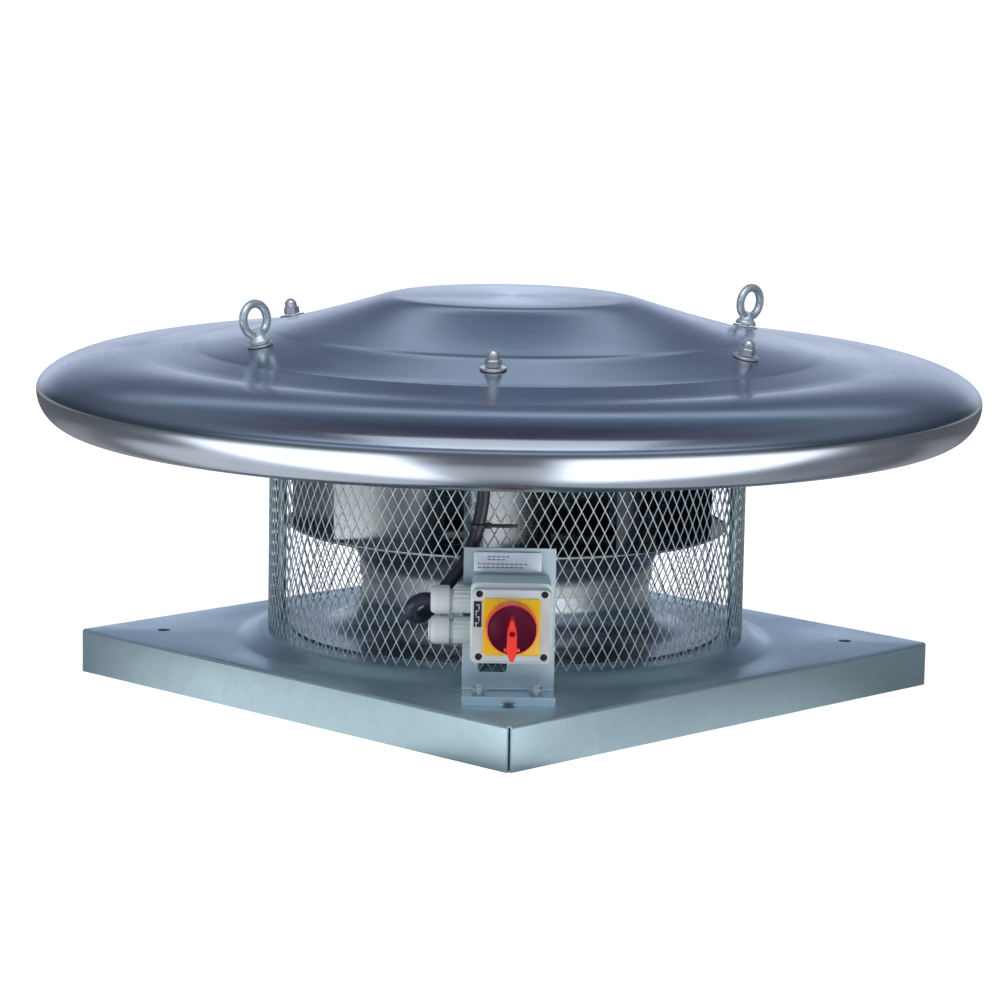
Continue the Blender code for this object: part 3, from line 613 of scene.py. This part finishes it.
def make_guard():
    """Expanded sheet: slanting strands that meet in upright bonds, as diamonds taller than wide."""
    columns, rows = 126, 18
    bottom, top, radius = 0.0506, 0.2254, 0.22025
    step = 0.0101
    shape = Shape()

    def bearing(column, row):
        return tau * (column + 0.5 * (row % 2)) / columns

    def bar(start, end, width, depth, twist):
        a0, z0 = start
        a1, z1 = end
        points = []
        for angle, height in ((a0, z0), (a1, z1)):
            outward = Vector((cos(angle), sin(angle), 0))
            tangent = Vector((-sin(angle), cos(angle), 0))
            slope = Vector(((a1 - a0) * radius, z1 - z0)).normalized()
            across = tangent * slope.y - Vector((0, 0, 1)) * slope.x
            face = (across * cos(twist) + outward * sin(twist)) * width / 2
            deep = (outward * cos(twist) - across * sin(twist)) * depth / 2
            middle = outward * radius + Vector((0, 0, height))
            points += [middle + face + deep, middle - face + deep]
            points += [middle - face - deep, middle + face - deep]
        shape.add(points, bands(4, 2))

    bond = 0.0014
    for row in range(rows):
        rise = min(step, top - bottom - row * step)
        height = bottom + row * step
        low, high = max(height - bond, bottom), min(height + bond, top)
        for column in range(columns):
            angle = bearing(column, row)
            bar((angle, low), (angle, high), bond, 0.0012, 0.0)
            for shift, twist in ((0, 0.5), (-1, -0.5)):
                turn = bearing(column + shift + row % 2, row + 1) - angle
                end = (angle + turn * rise / step, height + rise)
                bar((angle, height), end, 0.00085, 0.00095, twist)
    piece("guard_strands", shape, MESH, "guard_mesh", 0)


def make_inlet():
    mouth = arc((0.17, 0.088), (0.038, 0.0377), 270, 180, 20)
    line = [(out, RING_TOP) for out in (0.2, 0.19, 0.176)] + mouth + [(0.132, 0.096), (0.132, 0.104)]
    shape = Shape().lathe(thick(line, 0.0015), 192)
    piece("inlet_bell", shape, CONE, "inlet_cone", 40)


def make_deck():
    outline = soft([(0.03, 0.226), (0.264, 0.226), (0.264, 0.229), (0.03, 0.229)], 0.0008, 3)
    shape = Shape().lathe(outline, 192)
    deck = piece("motor_deck", shape, ZINC_SHEET, "motor_plate", 40)
    spot = SIDE @ shift((-0.023, -0.232, 0))
    pierce(deck, [Shape().lathe(rod(0.0083, 0.2, 0.25), 32, spot)])
    outline = [(0.0064, 0.224), (0.0095, 0.224), (0.0095, 0.2257), (0.008, 0.2257), (0.008, 0.2293)]
    outline += [(0.0095, 0.2293), (0.0095, 0.231), (0.0064, 0.231)]
    shape = Shape().lathe(soft(outline, 0.0005, 3), 40, spot)
    piece("deck_grommet", shape, BLACK, "cable_grommet")
    for number, bearing in enumerate((-7.5, 82.5, 172.5, 262.5), 1):
        turn = spin(radians(45 + bearing)) @ shift((0, -0.2115, 0))
        shape = Shape().lathe(soft(rod(0.004, RING_TOP, 0.2257), 0.0004, 2, False), 24, turn)
        for low in (0.0522, 0.2192):
            shape.slab(hexagon(0.0072), low, low + 0.0062, 0.0005, turn)
        piece(f"guard_rod_{number}", shape, ZINC_SHEET, f"support_leg_{number}", 30)


# ---- impeller and motor
def shroud_height(radius):
    """Height of the shroud's curve, which the blades follow."""
    across = (0.202 - radius) / 0.066
    return 0.108 + 0.038 * sqrt(max(1 - across * across, 0))


def make_impeller():
    curve = arc((0.202, 0.108), (0.066, 0.038), 180, 90, 20)
    line = [(0.136, 0.099), (0.136, 0.104)] + curve + [(0.2028, 0.1464), (0.2035, 0.1472), (0.2036, 0.1485)]
    shape = Shape().lathe(thick(line, -0.0016), 160)
    plate = soft([(0.03, 0.214), (0.2028, 0.214), (0.2028, 0.216), (0.03, 0.216)], 0.0005, 2)
    shape.lathe(plate, 160)
    for number in range(9):
        points, count = [], 20
        for i in range(count + 1):
            share = i / count
            radius = 0.199 - 0.058 * share
            turn = radians(28.5 + 40 * number + 27.0 * share ** 0.9)
            middle = Vector((radius * sin(turn), -radius * cos(turn)))
            lean = turn - radians(48)
            normal = Vector((sin(lean), -cos(lean))) * 0.0009
            for spot in (middle - normal, middle + normal):
                points.append((spot.x, spot.y, shroud_height(radius) + 0.0006))
                points.append((spot.x, spot.y, 0.2145))
        faces = [[0, 1, 3, 2], [4 * count + i for i in (0, 2, 3, 1)]]
        for i in range(count):
            a, b = 4 * i, 4 * i + 4
            faces += [[a, b, b + 1, a + 1], [a + 1, b + 1, b + 3, a + 3]]
            faces += [[a + 3, b + 3, b + 2, a + 2], [a + 2, b + 2, b, a]]
        shape.add(points, faces)
    piece("fan_wheel", shape, WHEEL, "impeller", 40, SIDE, body="fan_rotor")
    bore = 0.0098
    hub = [(bore, 0.19), (0.021, 0.19), (0.024, 0.193), (0.024, 0.2075, 0.003), (0.045, 0.2075)]
    shape = Shape().lathe(soft(hub + [(0.045, 0.2137), (bore, 0.2137)], 0.0008, 3), 64)
    for k in range(6):
        angle = tau * k / 6
        head = shift((0.036 * cos(angle), 0.036 * sin(angle), 0))
        cap = [(0, 0.205), (0.0022, 0.2052), (0.0035, 0.2064), (0.0036, 0.2078)]
        shape.lathe(cap, 20, head, closed=False)
    piece("wheel_hub", shape, WHEEL, "impeller_hub", body="fan_rotor")
    bolt = Shape().slab(hexagon(M8_HEXAGON), 0.176, 0.1815, 0.0006)
    bolt.lathe(soft(rod(0.013, 0.181, 0.1893), 0.0008, 3, False), 48)
    bolt.lathe(rod(0.004, 0.1885, 0.2065), 24)
    piece("wheel_bolt", bolt, ZINC, "hub_bolt", 30, body="fan_rotor")


def make_motor():
    drive = [(0.012, 0.2293), (0.088, 0.2293), (0.088, 0.2358), (0.079, 0.2365, 0.002), (0.078, 0.24)]
    drive += [(0.03, 0.24), (0.03, 0.2463), (0.0238, 0.2463), (0.0238, 0.232), (0.012, 0.232)]
    shape = Shape().lathe(soft(drive, 0.0006, 3), 96)
    for k in range(4):
        angle = radians(45 + 90 * k)
        head = shift((0.083 * cos(angle), 0.083 * sin(angle), 0.2357))
        shape.slab(hexagon(0.0042), 0, 0.003, 0.0003, head)
    piece("motor_front", shape, MOTOR, "drive_end_shield", 30)
    wall = [(0.07, 0.2403), (0.076, 0.2403), (0.076, 0.318), (0.07, 0.318)]
    shape = Shape().lathe(soft(wall, 0.0006, 3), 96)
    ribs, box_bearing, box_share = 40, radians(-45), 0.42
    for k in range(ribs):
        angle = tau * k / ribs
        if abs(remainder(angle - box_bearing, tau)) < box_share:
            continue
        turn = spin(angle)
        shape.box((0.0034, 0.0014, 0.064), (0.0763, 0, 0.273), 0.0003, turn)
    piece("motor_barrel", shape, MOTOR, "motor_housing", 30)
    rear = [(0.012, 0.326), (0.076, 0.326), (0.078, 0.324), (0.078, 0.3183), (0.026, 0.3183), (0.026, 0.3075)]
    rear += [(0.0203, 0.3075), (0.0203, 0.3205), (0.012, 0.3205)]
    shape = Shape().lathe(soft(rear, 0.0006, 3), 96)
    piece("motor_back", shape, MOTOR, "rear_end_shield")
    outer = [(0.081, 0.305), (0.081, 0.337), (0.0805, 0.3405), (0.079, 0.343), (0.0765, 0.3445)]
    shape = Shape().lathe(thick(outer + [(0.073, 0.345), (0.028, 0.345)], -0.0015), 96)
    cover = piece("motor_fan_cover", shape, MOTOR, "fan_cover")
    slots = []
    for ring_radius, count in ((0.04, 10), (0.056, 14)):
        for k in range(count):
            turn = spin(tau * k / count) @ shift((ring_radius, 0, 0))
            slots.append(Shape().stack(round_box(0.0034, 0.015, 0.0016, 3), [(0, 0.335), (0, 0.35)], turn))
    pierce(cover, slots)
    spot = along((0, -1, 0), (-0.015, -0.109, 0.279))
    gland = [(0.0064, 0.0), (0.008, 0.0), (0.008, 0.0055), (0.011, 0.0055), (0.011, 0.022, 0.002)]
    gland += [(0.008, 0.025), (0.0064, 0.025)]
    shape = Shape().lathe(soft(gland, 0.0005, 3), 48, SIDE @ spot)
    piece("motor_cable_gland", shape, GREY, "motor_gland")


# ---- switch
def make_bracket():
    """One folded sheet: a foot with a lip, a round fold and the upright behind the switch."""
    back, end, floor, lip, top = -0.2503, -0.3115, 0.0403, 0.0472, 0.1655
    line = [(back, top), (back, floor), (end, floor), (end, lip)]
    outer = soft(line, 0.0022, 5, False)
    section = thick(outer, -SHEET)
    half = 0.04
    points = [(sx * half, y, z) for sx in (-1, 1) for y, z in section]
    count = len(section)
    faces = [list(range(count)), list(range(count, 2 * count))[::-1]]
    shape = Shape().add(points, faces + bands(count, 2))
    bracket = piece("bracket_sheet", shape, BRACKET, "switch_bracket", 30, SIDE)
    spot = SIDE @ along((0, -1, 0), (-0.0137, back, 0.0623))
    slot = Shape().stack(round_box(0.0254, 0.012, 0.003), [(0, -0.01), (0, 0.01)], spot)
    pierce(bracket, [slot], 30)
    ease_edges(bracket, 0.0003)
    for number, sx in enumerate((-1, 1), 1):
        spot = SIDE @ shift((sx * 0.025, -0.262, 0.0426))
        shape = Shape().slab(hexagon(0.0051), 0.0008, 0.005, 0.0004, spot)
        flange = [(0, 0.0), (0.0065, 0.0), (0.0065, 0.0008), (0.0052, 0.0014), (0, 0.0016)]
        shape.lathe(soft(flange, 0.0003, 2, False), 40, spot)
        shape.lathe(rod(0.003, -0.0116, 0.0005), 20, spot)
        piece(f"foot_bolt_{number}", shape, STAINLESS, f"bracket_bolt_{number}", 30)
    centre = FACE @ shift((-0.0036, 0.0459, 0.0))
    shape = Shape().slab(round_box(0.058, 0.017, 0.001), 0.0003, 0.0012, 0.0002, centre)
    pitch, dash = 0.004, (0.003, 0.0009, 0.0002)
    for left, low, dashes in (
            (-0.018, 0.0048, 5), (-0.018, 0.0022, 4), (-0.0265, -0.0016, 11), (-0.0265, -0.0046, 10)):
        for k in range(dashes):
            shape.box(dash, (left + pitch * k + pitch / 2, low, 0.00125), 0.00005, centre, 1)
    piece("plate_label", shape, [LABEL, INK], "rating_label", 30)


def make_switch_case():
    bottom, depth = 0.0003, 0.042
    case = Shape().stack(round_box(0.068, 0.07, 0.0045), [
        (0.0012, bottom), (0.0004, bottom + 0.0004), (0.0, bottom + 0.0012),
        (0.0, depth - 0.0006), (0.0003, depth - 0.0002), (0.0008, depth)], FACE)
    case.slab(round_box(0.07, 0.0672, 0.003), depth - 0.0072, depth - 0.0052, 0.0006, FACE)
    piece("switch_case", case, GREY, "switch_box", 30)
    lid = Shape().stack(round_box(0.0678, 0.063, 0.0045), [
        (0.0012, depth + 0.0003), (0.0006, depth + 0.0006), (0, depth + 0.0018),
        (0, 0.051), (0.0003, 0.052), (0.001, 0.0527)], FACE)
    cover = piece("switch_cover", lid, LID_GREY, "switch_lid", 30)
    pilot = Shape().lathe(rod(PILOT, 0.03, 0.07), 32, FACE)
    wells, screws = [], Shape()
    head = [(0, 0.0), (0.0029, 0.0), (0.0029, 0.0026), (0.0024, 0.0032), (0.0012, 0.0034)]
    head += [(0.0011, 0.0018), (0, 0.0018)]
    for x, y in SCREW_SPOTS:
        wells.append(Shape().lathe(rod(0.0031, 0.0467, 0.07), 28, FACE @ shift((x, y, 0))))
        spot = FACE @ shift((x, y, 0.0468))
        screws.lathe(head, 24, spot)
        lean = copysign(0.4, x)
        for turn in (lean, lean + 1.571):
            cross = spot @ spin(turn)
            screws.box((0.0036, 0.0008, 0.0006), (0, 0, 0.0034), 0.0001, cross)
    pierce(cover, wells + [pilot], 30)
    piece("cover_screws", screws, BLACK, None, 30)
    spot = FACE @ shift((0, -0.001, 0))
    shape = Shape().slab(round_box(0.049, 0.049, 0.0025), 0.053, 0.0542, 0.0004, spot, both=False)
    plate = piece("face_plate", shape, YELLOW, "switch_plate", 30)
    pierce(plate, [pilot], 30)
    marks = Shape()
    tag = FACE @ shift((-0.0292, 0.0098, 0))
    marks.slab(round_box(0.0066, 0.0225, 0.0004), 0.0525, 0.053, 0.0001, tag)
    ink, level = 0.00005, 0.05305
    for k in range(4):
        side = (-1) ** k
        marks.box((0.003, 0.0007, 0.0002), (0.0004 * side, 0.008 - 0.0052 * k, level), ink, tag, 1)
        marks.box((0.0007, 0.0034, 0.0002), (0.0012 * side, 0.0056 - 0.005 * k, level), ink, tag, 1)
    oval = [(0.004 * cos(tau * k / 32), 0.0012 * sin(tau * k / 32)) for k in range(32)]
    spot = FACE @ shift((0, 0.0208, 0))
    marks.stack(lambda inset: oval, [(0, 0.0539), (0, 0.0543)], spot)
    piece("printed_marks", marks, [BLACK, LABEL], None, 30)


def make_glands():
    neck = [(0.0064, -0.004), (0.008, -0.004), (0.008, 0.0003), (0.011, 0.0003), (0.011, 0.0155)]
    neck += [(0.0093, 0.0155), (0.0093, 0.019), (0.0123, 0.019, 0.0009), (0.0123, 0.0325, 0.002)]
    neck += [(0.0104, 0.0355, 0.0012), (0.0064, 0.0355)]
    ribs = 18
    for number, (node, height) in enumerate((("upper_gland", 0.123), ("lower_gland", 0.0964)), 1):
        spot = SIDE @ along((-1, 0, 0), (-0.0324, -0.268, height))
        shape = Shape().lathe(soft(neck, 0.0004, 4), 64, spot)
        for k in range(ribs):
            rib = spot @ spin(tau * k / ribs)
            shape.box((0.0012, 0.0021, 0.0146), (0.0111, 0, 0.0078), 0.0004, rib)
        piece(f"entry_gland_{number}", shape, LID_GREY, node, 30)
    # The plug closes the lower gland, the last one made.
    plug = [(0, 0.02), (0.0061, 0.02), (0.0061, 0.0358), (0.009, 0.0358)]
    plug += [(0.0088, 0.037, 0.0008), (0, 0.0375)]
    shape = Shape().lathe(soft(plug, 0.0003, 3, False), 48, spot)
    piece("gland_plug", shape, GREY, "blanking_plug")


def make_handle():
    foot = 0.0545
    shape = Shape()
    skirt = [(0, foot), (0.0221, foot), (0.0223, foot + 0.0022), (0.0222, foot + 0.006, 0.001)]
    skirt += [(0.0218, foot + 0.015, 0.002), (0.0215, foot + 0.0166, 0.001), (0.0207, foot + 0.0172, 0.0008)]
    shape.lathe(soft(skirt, 0.0008, 4, False), 96, FACE, closed=False)
    dish = [(0.0207, foot + 0.0172), (0.02, foot + 0.0167), (0.015, foot + 0.0153)]
    dish += [(0.007, foot + 0.0146), (0, foot + 0.0145)]
    shape.lathe(dish, 96, FACE, closed=False, mark=1)
    piece("rotary_knob", shape, [RED, CRIMSON], "switch_handle", body="handle")
    right = [(0.0011, 0.0122, 0.0008), (0.0042, 0.001, 0.004)]
    right += [(0.0042, -0.0175, 0.003), (0.0014, -0.0238, 0.0008)]
    corners = right[:1] + [(-x, y, size) for x, y, size in right] + right[:0:-1]

    def bar(inset):
        scale = 1 - inset / 0.0045
        return [(x * scale, (y + 0.003) * (1 - inset / 0.019) - 0.003) for x, y in soft(corners, 0.002, 4)]

    grip = [(0, foot + 0.015), (0, foot + 0.0345), (0.0003, foot + 0.0353), (0.0009, foot + 0.036)]
    handle = piece("knob_grip", Shape().stack(bar, grip, FACE), RED, body="handle")
    front = foot + 0.0335
    hole = Shape().lathe(rod(0.0026, foot + 0.028, 0.1), 32, FACE)
    spot = FACE @ shift((0, -0.017, 0))
    wings = Shape().stack(round_box(0.02, 0.0094, 0.0004), [(0, front - 0.0053), (0, front - 0.0007)], spot)
    pierce(handle, [hole, wings])
    slide = Shape().box((0.003, 0.0135, 0.004), (0, -0.0167, front - 0.003), 0.0004, FACE)
    slide.box((0.0135, 0.0034, 0.0036), (0, -0.0144, front - 0.003), 0.0007, FACE)
    piece("lock_slide", slide, RED, "padlock_slide", body="padlock")


# The lead's middle line in side space, from the motor's gland to the upper gland on the switch.
CABLE_ROUTE = (
    (-0.015, -0.112, 0.279), (-0.015, -0.14, 0.279), (-0.016, -0.166, 0.279), (-0.019, -0.195, 0.273),
    (-0.022, -0.22, 0.257), (-0.023, -0.231, 0.24), (-0.023, -0.232, 0.227), (-0.024, -0.232, 0.206),
    (-0.027, -0.232, 0.186), (-0.032, -0.232, 0.166), (-0.039, -0.2335, 0.15), (-0.05, -0.2355, 0.135),
    (-0.06, -0.2385, 0.122), (-0.068, -0.243, 0.11), (-0.077, -0.252, 0.104), (-0.0845, -0.262, 0.108),
    (-0.0835, -0.2675, 0.1175), (-0.076, -0.268, 0.1225), (-0.067, -0.268, 0.123), (-0.052, -0.268, 0.123),
)


def make_cable():
    """A round lead on a smooth curve through its route, and the tie round it."""
    steps = 6
    route = [Vector(point) for point in CABLE_ROUTE]
    route = [route[0] * 2 - route[1]] + route + [route[-1] * 2 - route[-2]]
    points = []
    for a, b, c, d in zip(route, route[1:], route[2:], route[3:]):
        for step in range(steps):
            t = step / steps
            bend = (2 * a - 5 * b + 4 * c - d) * t ** 2 + (3 * b - a - 3 * c + d) * t ** 3
            points.append((2 * b + (c - a) * t + bend) / 2)
    points.append(route[-2])
    curve = bpy.data.curves.new("motor_lead", "CURVE")
    curve.dimensions = "3D"
    curve.bevel_depth = 0.00575
    curve.bevel_resolution = 6
    curve.use_fill_caps = True
    spline = curve.splines.new("POLY")
    spline.points.add(len(points) - 1)
    for spot, point in zip(spline.points, points):
        spot.co = (*(SIDE @ point), 1.0)
    spline.use_smooth = True
    cable = add_object("motor_lead", curve)
    curve.materials.append(SHEATH)
    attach(cable, "frame")
    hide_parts("motor_cable")
    spot = SIDE @ shift((-0.0278, -0.232, 0.1818))
    band = soft([(0.0063, -0.0018), (0.0074, -0.0018), (0.0074, 0.0018), (0.0063, 0.0018)], 0.0003, 2)
    tie = Shape().lathe(band, 48, spot)
    tie.box((0.0052, 0.0044, 0.0052), (0.009, 0, 0), 0.0006, spot)
    tie.box((0.024, 0.0011, 0.0034), (0.0225, 0, 0), 0.0003, spot)
    piece("tie_band", tie, BLACK, "cable_tie", 30)


# ---- CAD nodes that stay
def finish_nodes():
    looks = {
        "cowl_bracket": ZINC_SHEET, "motor_shaft": STEEL, "drive_bearing": STEEL, "rear_bearing": STEEL,
        "switch_shaft": STEEL, "rotor": CORE, "stator": COPPER, "cooling_fan": BLACK, "contact_block": BLACK,
        "terminal_box": MOTOR,
    }
    for name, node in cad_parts.items():
        for key, material in looks.items():
            if name.startswith(key):
                node.data.materials.clear()
                node.data.materials.append(material)
        if name.startswith(("cowl_bracket", "terminal_box")):
            weld = node.modifiers.new("weld", "WELD")
            weld.merge_threshold = 0.00001
            ease_edges(node, 0.0005)


# ---- studio
def toward(azimuth, elevation):
    """A direction from the fan, by its bearing from the camera's side, positive to the right."""
    a = radians(VIEW_SIDE + azimuth)
    e = radians(elevation)
    return Vector((sin(a) * cos(e), -cos(a) * cos(e), sin(e)))


def smooth_step(tree, source, socket, low, high):
    """Goes from 0 at low to 1 at high, whichever of them is greater."""
    node = spread(tree, source, socket, 0.0, 1.0, (low, high))
    node.interpolation_type = "SMOOTHSTEP"
    return node


def combine(tree, operation, first, *others):
    """Chains math nodes, each on the last result and the next node or number."""
    for other in others:
        node = add_node(tree, "Math", operation=operation)
        for number, value in enumerate((first, other)):
            if isinstance(value, (int, float)):
                node.inputs[number].default_value = value
            else:
                link(tree, value, 0, node, number)
        first = node
    return first


def make_floor():
    """A pale floor that glows: evenly white to the camera, dim to reflections, with glowing patches round the
    fan that paint highlights on the cowl's rim and the base's skirts, and no glow under the base.
    """
    mesh = bpy.data.meshes.new("floor")
    mesh.from_pydata([(30 * x, 30 * y, -0.0002) for x, y in CORNERS], [], [(0, 1, 2, 3)])
    floor = add_object("floor", mesh)
    material, tree, shader = new_material(
        "pale_floor", (0.9, 0.9, 0.91), 0.0, 0.9, Specular_IOR_Level=0.0)
    place = coordinates(tree)  # turned so that +X is the camera's right and +Y is away from it
    place.inputs["Rotation"].default_value = (0, 0, -radians(VIEW_SIDE))

    def along_floor(across, away):
        """How far a point lies along a direction on the floor."""
        node = add_node(tree, "VectorMath", {1: (across, away, 0)}, operation="DOT_PRODUCT")
        link(tree, place, "Vector", node, 0)
        return node

    def step(source, low, high):
        return smooth_step(tree, source, "Value", low, high)

    def product(*values):
        return combine(tree, "MULTIPLY", *values)

    def most(*values):
        return combine(tree, "MAXIMUM", *values)

    x, y = along_floor(1, 0), along_floor(0, 1)
    reach = add_node(tree, "VectorMath", operation="LENGTH")
    link(tree, place, "Vector", reach, 0)
    # Painted highlights: patches of the floor that glow only for reflections, in front of, beside and behind
    # the fan, light up the cowl's rim and the base's skirts.
    near = step(y, -0.32, -0.52)
    left = step(along_floor(-1.0, 0.5), -0.2, -0.08)
    right = step(along_floor(1.0, 0.2), -0.084, 0.036)
    front = product(most(left, right), 3.5, near, step(reach, 2.1, 0.65))
    apron = product(near, step(reach, 0.95, 0.6), 0.6)
    back = product(step(y, 1.8, 3.2), 0.5)
    behind = product(step(reach, 1.3, 0.7), step(y, 0.0, 0.2), 0.34)
    west = product(step(x, -0.02, -0.12), 0.85)
    east = product(step(x, 0.0, 0.08), spread(tree, x, "Value", 0.7, 0.22, (0.05, 0.5)))
    beside = product(most(west, east), step(reach, 0.85, 0.6), step(y, 0.05, -0.15))
    glow = most(front, apron, beside, back, behind, DIM_FLOOR)
    path = add_node(tree, "LightPath")
    strength = add_node(tree, "Mix", {3: WHITE_FLOOR})
    link(tree, path, "Is Camera Ray", strength, 0)
    link(tree, glow, 0, strength, 2)
    square = add_node(tree, "VectorMath", operation="ABSOLUTE")
    link(tree, coordinates(tree), "Vector", square, 0)
    halves = add_node(tree, "SeparateXYZ")
    link(tree, square, "Vector", halves, "Vector")
    widest = add_node(tree, "Math", operation="MAXIMUM")
    link(tree, halves, "X", widest, 0)
    link(tree, halves, "Y", widest, 1)
    clear_of_base = step(widest, 0.272, 0.279)
    link(tree, product(clear_of_base, strength), 0, shader, "Emission Strength")
    shader.inputs["Emission Color"].default_value = (1.0, 1.0, 1.0, 1.0)
    tones = ((0.0, (0.12, 0.12, 0.13)), (1.0, (0.9, 0.9, 0.9)))
    link(tree, ramp(tree, path, "Is Camera Ray", tones), "Color", shader, "Base Color")
    mesh.materials.append(material)


def make_world():
    """A room: a bright banded wall behind the fan, a softer one in front of it, and dim sides."""
    world = bpy.data.worlds.new("studio")
    bpy.context.scene.world = world
    world.use_nodes = True
    tree = world.node_tree
    background = tree.nodes["Background"]
    source = add_node(tree, "TexCoord")
    split = add_node(tree, "SeparateXYZ")
    link(tree, source, "Generated", split, "Vector")
    flat = add_node(tree, "VectorMath", {1: (1, 1, 0)}, operation="MULTIPLY")
    link(tree, source, "Generated", flat, 0)
    bearing = add_node(tree, "VectorMath", operation="NORMALIZE")
    link(tree, flat, "Vector", bearing, 0)
    side = radians(VIEW_SIDE)
    away = (-sin(side), cos(side), 0)
    facing = add_node(tree, "VectorMath", {1: away}, operation="DOT_PRODUCT")
    link(tree, bearing, "Vector", facing, 0)
    behind = smooth_step(tree, facing, "Value", 0.82, 0.98)
    ahead = smooth_step(tree, facing, "Value", -0.1, -0.75)
    back_wall = ramp(tree, split, "Z", [
        (0.0, (0.48, 0.54, 0.67)), (0.16, (0.48, 0.54, 0.67)), (0.25, (0.1, 0.12, 0.18)),
        (0.47, (0.05, 0.06, 0.11)), (0.54, (0.56, 0.64, 0.76)), (0.59, (0.1, 0.15, 0.21)),
        (0.84, (0.05, 0.05, 0.08)), (1.0, (0.05, 0.05, 0.08)),
    ])
    side_walls = ramp(tree, split, "Z", [
        (0.0, (0.02, 0.03, 0.04)), (0.35, (0.05, 0.06, 0.08)), (0.6, (0.11, 0.13, 0.17)),
        (0.75, (0.12, 0.14, 0.18)), (0.88, (0.07, 0.07, 0.1)), (1.0, (0.07, 0.07, 0.1)),
    ])
    front_wall = ramp(tree, split, "Z", [
        (0.0, (0.1, 0.11, 0.13)), (0.14, (0.16, 0.18, 0.22)), (0.27, (0.4, 0.45, 0.54)),
        (0.4, (0.16, 0.18, 0.24)), (0.55, (0.12, 0.14, 0.2)), (0.66, (0.42, 0.47, 0.56)),
        (0.8, (0.2, 0.23, 0.29)), (1.0, (0.06, 0.06, 0.09)),
    ])
    colour, output = side_walls, "Color"
    for share, wall in ((behind, back_wall), (ahead, front_wall)):
        mix = add_node(tree, "Mix", data_type="RGBA")
        link(tree, share, "Result", mix, 0)
        link(tree, colour, output, mix, 6)
        link(tree, wall, "Color", mix, 7)
        colour, output = mix, 2
    link(tree, colour, output, background, "Color")
    background.inputs["Strength"].default_value = 1.7


def add_light(name, azimuth, elevation, distance, size, power, colour=(1, 1, 1)):
    """A soft rectangular light, aimed at the fan."""
    lamp = bpy.data.lights.new(name, "AREA")
    lamp.shape = "RECTANGLE"
    lamp.size, lamp.size_y = size
    lamp.energy = power
    lamp.color = colour
    light = add_object(name, lamp)
    spot = FAN_MIDDLE + toward(azimuth, elevation) * distance
    light.location = spot
    light.rotation_euler = (FAN_MIDDLE - spot).to_track_quat("-Z", "Y").to_euler()
    return light


def make_lights():
    """Two keys that don't show in reflections, and a large light above."""
    left = add_light("key_left", -52, 16, 2.6, (1.5, 1.1), 17, (1.0, 0.99, 0.98))
    right = add_light("key_right", 42, 16, 2.6, (1.1, 1.0), 9, (0.98, 0.99, 1.0))
    left.visible_glossy = right.visible_glossy = False
    add_light("top", 0, 62, 4.0, (3.4, 3.4), 36)


def make_camera():
    camera_data = bpy.data.cameras.new("camera")
    camera_data.sensor_width = 36
    camera_data.lens = VIEW_LENS
    camera_data.clip_end = 100
    camera = add_object("camera", camera_data)
    roll = radians(VIEW_ROLL)
    back = toward(0, VIEW_HEIGHT)
    right = (-back).cross(Vector((0, 0, 1))).normalized()
    up = right.cross(-back)
    turned_right = right * cos(roll) + up * sin(roll)
    turned_up = up * cos(roll) - right * sin(roll)
    matrix = Matrix((turned_right, turned_up, back)).transposed().to_4x4()
    matrix.translation = VIEW_CENTRE + back * VIEW_DISTANCE
    camera.matrix_world = matrix
    bpy.context.scene.camera = camera


make_camera()
make_cowl()
make_fixings()
make_base()
make_guard()
make_inlet()
make_deck()
make_impeller()
make_motor()
make_bracket()
make_switch_case()
make_glands()
make_handle()
make_cable()
finish_nodes()
make_floor()
make_world()
make_lights()
bpy.context.scene.view_settings.view_transform = "Standard"

bpy.context.view_layer.update()
